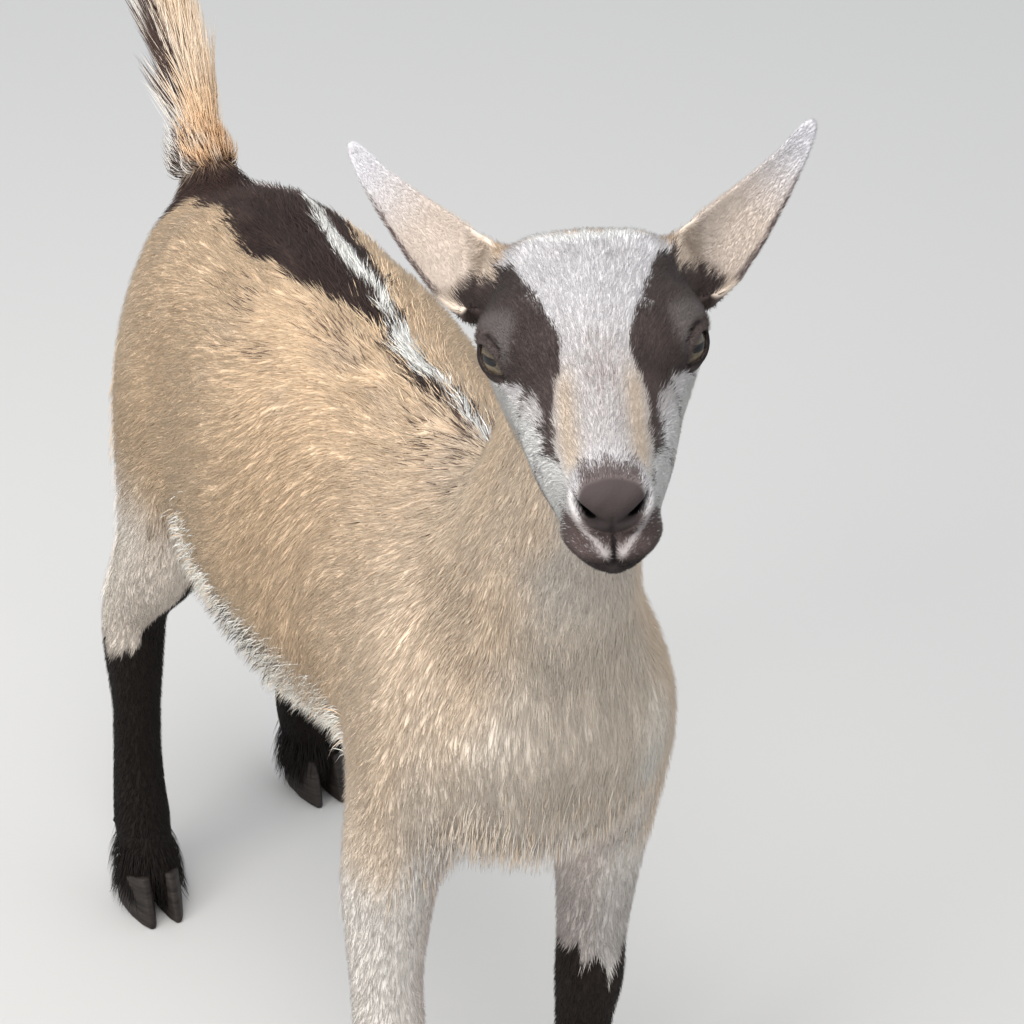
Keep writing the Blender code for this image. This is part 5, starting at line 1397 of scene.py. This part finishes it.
def thigh_room(p, n):
    y, z = p[:, 1], p[:, 2]
    behind = ramp(n[:, 1], 0.15, 0.6) * ramp(y, 0.20, 0.24)
    return 70000 * behind * ramp(z, 0.235, 0.27) * ramp(0.47 - z, 0, 0.05)


def thigh_leave(p, n):
    return n * 0.35 + np.array((0, 0.15, -1.0))


def thigh_turn(p, n):
    return n * 0.05 + np.array((0, 0.12, -1.0))


strands("thigh_hair", "coat_hindlegs", thigh_room, (0.018, 0.030), 0.0009, thigh_leave, thigh_turn, 0.0045,
        seed=84, centre=barrel, spread=10)


def brisket_room(p, n):
    y, z = p[:, 1], p[:, 2]
    low = ramp(-n[:, 2], 0.0, 0.5) * ramp(-y, 0.13, 0.17) * ramp(z, 0.30, 0.32) * ramp(0.42 - z, 0, 0.03)
    elbow = 0.9 * ramp(n[:, 1], 0.3, 0.8) * ramp(z, 0.25, 0.275) * ramp(0.335 - z, 0, 0.03) * (y < -0.05)
    return 130000 * np.maximum(low, elbow)


def brisket_leave(p, n):
    return n * 0.12 + np.array((0, 0.10, -1.0))


def brisket_shade(p, n, chance):
    return lay(coat_colour(p, n, chance) * 0.90, CREAM * 0.85, 0.35 + 0 * p[:, 0], chance)


strands("brisket_hair", "coat_body", brisket_room, (0.012, 0.026), 0.00062, brisket_leave, thigh_turn, 0.003,
        shade=brisket_shade, seed=87, centre=barrel, spread=12)


def flank_fold_room(p, n):
    x, y, z = np.abs(p[:, 0] - mid_x), p[:, 1], p[:, 2]
    near = ((y - 0.115) / 0.020) ** 2 + ((z - 0.385) / 0.018) ** 2 + ((x - 0.095) / 0.022) ** 2
    return 140000 * np.exp(-near)


def flank_fold_shade(p, n, chance):
    return lay(coat_colour(p, n, chance), SNOW * (0.95, 0.93, 0.90), 0.65 + 0 * p[:, 0], chance)


strands("flank_fold_hair", "coat_body", flank_fold_room, (0.014, 0.026), 0.0008, belly_leave, belly_turn,
        0.003, shade=flank_fold_shade, seed=90, centre=barrel, spread=12)


def hoof_room(p, n):
    return 400000 * ramp(p[:, 2], 0.0260, 0.0290) * ramp(0.054 - p[:, 2], 0, 0.010)


def hoof_leave(p, n):
    return n * 0.55 + np.array((0, -0.1, -1.0))


def hoof_turn(p, n):
    return n * 0.22 + np.array((0, -0.1, -1.0))


strands("hoof_fringe", "coat_hindlegs", hoof_room, (0.015, 0.031), 0.00075, hoof_leave, hoof_turn, 0.0036,
        seed=93, centre=barrel, spread=12, low=0.007)

# The hooves
# Two claws of dark horn on each foot and two small dewclaws behind it. The horn grows down
# from the hair in fine level lines, and its edges are worn round.

HORN_STEP = 0.0008
GROWTH_LINE, LINE_DEPTH = 0.0024, 0.00010

horn = bpy.data.materials.new("horn")
horn.use_nodes = True
horn_nodes, horn_links = horn.node_tree.nodes, horn.node_tree.links
horn_shader = horn_nodes["Principled BSDF"]
horn_shader.inputs["Roughness"].default_value = 0.55
horn_shader.inputs["Specular IOR Level"].default_value = 0.25
horn_place = horn_nodes.new("ShaderNodeTexCoord")
horn_stretch = horn_nodes.new("ShaderNodeMapping")
horn_stretch.inputs["Scale"].default_value = (60.0, 60.0, 420.0)
horn_grain = horn_nodes.new("ShaderNodeTexNoise")
horn_grain.inputs["Scale"].default_value = 1.0
horn_grain.inputs["Detail"].default_value = 3.0
horn_ramp = horn_nodes.new("ShaderNodeValToRGB")
horn_ramp.color_ramp.elements[0].position = 0.30
horn_ramp.color_ramp.elements[0].color = (0.008, 0.006, 0.005, 1)
horn_ramp.color_ramp.elements[1].position = 0.75
horn_ramp.color_ramp.elements[1].color = (0.034, 0.026, 0.022, 1)
horn_raised = horn_nodes.new("ShaderNodeBump")
horn_raised.inputs["Distance"].default_value = 0.0003
horn_raised.inputs["Strength"].default_value = 0.5
horn_links.new(horn_place.outputs["Object"], horn_stretch.inputs["Vector"])
horn_links.new(horn_stretch.outputs["Vector"], horn_grain.inputs["Vector"])
horn_links.new(horn_grain.outputs["Fac"], horn_ramp.inputs["Fac"])
horn_links.new(horn_ramp.outputs["Color"], horn_shader.inputs["Base Color"])
horn_links.new(horn_grain.outputs["Fac"], horn_raised.inputs["Height"])
horn_links.new(horn_raised.outputs["Normal"], horn_shader.inputs["Normal"])


def horn_piece(node):
    """The node's own shape with rounded edges, and shallow waves: depth · cos(2π z / spacing)."""
    low, high = (np.array(v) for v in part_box(node))
    small = node.startswith("dewclaw")
    step = HORN_STEP * (0.5 if small else 1.0)
    field = cast(*mesh_arrays([node]), step, low - 0.004, high + 0.004, 0.005)
    values = blurred(field.values, 2 if small else 3)
    where, (x, y, z) = grid_of(field)
    waves = LINE_DEPTH * np.cos(2 * math.pi * (z + 0.12 * y) / GROWTH_LINE)
    values = np.maximum(values + waves, low[2] - z).astype(np.float32)
    thing = linked(node + "_horn", filled(node + "_horn", *shell(Field(values, field.first, field.step))))
    thing.data.shade_smooth()
    thing.data.materials.append(horn)
    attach(thing, "root")
    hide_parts(node)


for node in [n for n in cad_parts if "claw" in n]:
    horn_piece(node)


# The eyes
# Balls of glass with a painted iris, grey-green and amber, and a level slot of a pupil.
# A clear cornea bulges a little over the iris, and the whole is wet.

IRIS_R, PUPIL_LONG, PUPIL_HIGH = 0.70, 0.40, 0.145      # of the ball's radius
BULGE = 0.045


def eye_ball(name, side):
    """A ball with its pole where the eye faces, and a map that holds the way level and up."""
    centre = np.array(middle(name))
    faces = head_axes @ (EYE_FACES * (side, 1, 1))
    sideways = unit(np.cross(faces, (0, 0, 1)))
    rise = np.cross(sideways, faces)
    rows, columns = 72, 96
    a = np.linspace(0, math.pi, rows + 1)[1:-1, None]
    b = np.linspace(0, 2 * math.pi, columns, endpoint=False)[None]
    out_by = EYE_R * (1 + BULGE * np.clip(1 - (np.sin(a) / IRIS_R) ** 2, 0, 1) ** 2 * (a < 1.5))
    flat_a, flat_h = np.sin(a) * np.cos(b), np.sin(a) * np.sin(b)
    ring = flat_a[..., None] * sideways + flat_h[..., None] * rise + np.cos(a)[..., None] * faces
    ring = ring * out_by[..., None]
    pole = faces * EYE_R * (1 + BULGE)
    points = centre + np.concatenate([pole[None], ring.reshape(-1, 3), -faces[None] * EYE_R])
    index = 1 + np.arange((rows - 1) * columns).reshape(rows - 1, columns)
    after = np.roll(index, -1, axis=1)
    quads = np.stack([index[:-1], index[1:], after[1:], after[:-1]], axis=-1).reshape(-1, 4)
    ends = [(0, int(index[0, k]), int(after[0, k])) for k in range(columns)]
    last = len(points) - 1
    ends += [(last, int(after[-1, k]), int(index[-1, k])) for k in range(columns)]
    mesh = bpy.data.meshes.new(name + "_ball")
    mesh.from_pydata(points.tolist(), [], quads.tolist() + ends)
    mesh.shade_smooth()
    rel = (points - centre) / EYE_R
    flat = np.column_stack([rel @ sideways, rel @ rise])
    flat[rel @ faces < 0] *= 3
    corners = np.empty(len(mesh.loops), np.int32)
    mesh.loops.foreach_get("vertex_index", corners)
    layer = mesh.uv_layers.new(name="iris")
    layer.data.foreach_set("uv", flat[corners].astype(np.float32).ravel())
    return linked(name + "_ball", mesh)


def sum_node(tree, operation, *values):
    """A Math node with its inputs set or linked. Gives its output."""
    node = tree.nodes.new("ShaderNodeMath")
    node.operation = operation
    for socket, value in zip(node.inputs, values):
        if isinstance(value, bpy.types.NodeSocket):
            tree.links.new(value, socket)
        else:
            socket.default_value = value
    return node.outputs[0]


def smooth_step(tree, value, low, high):
    """0 up to low and 1 from high, smooth between. Gives the node's output."""
    node = tree.nodes.new("ShaderNodeMapRange")
    node.interpolation_type = "SMOOTHSTEP"
    tree.links.new(value, node.inputs["Value"])
    node.inputs["From Min"].default_value = low
    node.inputs["From Max"].default_value = high
    return node.outputs["Result"]


def mixed(tree, share, a, b):
    """A colour between a and b, either of them a colour or a socket."""
    node = tree.nodes.new("ShaderNodeMix")
    node.data_type = "RGBA"
    if isinstance(share, bpy.types.NodeSocket):
        tree.links.new(share, node.inputs["Factor"])
    else:
        node.inputs["Factor"].default_value = share
    for socket, value in zip((node.inputs[6], node.inputs[7]), (a, b)):
        if isinstance(value, bpy.types.NodeSocket):
            tree.links.new(value, socket)
        else:
            socket.default_value = (*value, 1)
    return node.outputs[2]


eye_paint = bpy.data.materials.new("eye_glass")
eye_paint.use_nodes = True
tree = eye_paint.node_tree
map_node = tree.nodes.new("ShaderNodeUVMap")
map_node.uv_map = "iris"
split = tree.nodes.new("ShaderNodeSeparateXYZ")
tree.links.new(map_node.outputs["UV"], split.inputs[0])
iris_x, iris_y = split.outputs[0], split.outputs[1]
radius = sum_node(tree, "SQRT", sum_node(tree, "ADD", sum_node(tree, "MULTIPLY", iris_x, iris_x),
                                         sum_node(tree, "MULTIPLY", iris_y, iris_y)))
turn_node = sum_node(tree, "ARCTAN2", iris_y, iris_x)
streaks = tree.nodes.new("ShaderNodeTexNoise")
streaks.noise_dimensions = "2D"
streaks.inputs["Scale"].default_value = 1.0
streaks.inputs["Detail"].default_value = 3.0
stretch = tree.nodes.new("ShaderNodeCombineXYZ")
tree.links.new(sum_node(tree, "MULTIPLY", turn_node, 9.0), stretch.inputs[0])
tree.links.new(sum_node(tree, "MULTIPLY", radius, 3.0), stretch.inputs[1])
tree.links.new(stretch.outputs[0], streaks.inputs["Vector"])
fibres = smooth_step(tree, streaks.outputs["Fac"], 0.3, 0.7)
iris = mixed(tree, fibres, (0.060, 0.045, 0.026), (0.150, 0.118, 0.076))
iris = mixed(tree, smooth_step(tree, radius, 0.42, 0.64), iris, (0.185, 0.150, 0.108))
# painted shadow of the upper lid: the iris darker towards its top
iris = mixed(tree, smooth_step(tree, iris_y, 0.02, 0.50), iris, (0.028, 0.021, 0.017))
iris = mixed(tree, smooth_step(tree, radius, IRIS_R - 0.05, IRIS_R), iris, (0.012, 0.010, 0.009))
iris = mixed(tree, smooth_step(tree, radius, IRIS_R + 0.07, IRIS_R + 0.13), iris, (0.42, 0.36, 0.33))
past_long = sum_node(tree, "MAXIMUM", sum_node(tree, "SUBTRACT", sum_node(tree, "ABSOLUTE", iris_x),
                                               PUPIL_LONG - PUPIL_HIGH), 0.0)
to_slot = sum_node(tree, "SQRT", sum_node(tree, "ADD", sum_node(tree, "MULTIPLY", past_long, past_long),
                                          sum_node(tree, "MULTIPLY", iris_y, iris_y)))
pupil = smooth_step(tree, to_slot, PUPIL_HIGH - 0.015, PUPIL_HIGH + 0.02)
iris = mixed(tree, pupil, (0.004, 0.004, 0.005), iris)
glass = tree.nodes["Principled BSDF"]
tree.links.new(iris, glass.inputs["Base Color"])
glass.inputs["Roughness"].default_value = 0.35
glass.inputs["Specular IOR Level"].default_value = 0.0
glass.inputs["Coat Weight"].default_value = 0.7
glass.inputs["Coat Roughness"].default_value = 0.02

for side, name in ((1, "eye_left"), (-1, "eye_right")):
    ball = eye_ball(name, side)
    ball.data.materials.append(eye_paint)
    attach(ball, "root")
    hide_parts(name)
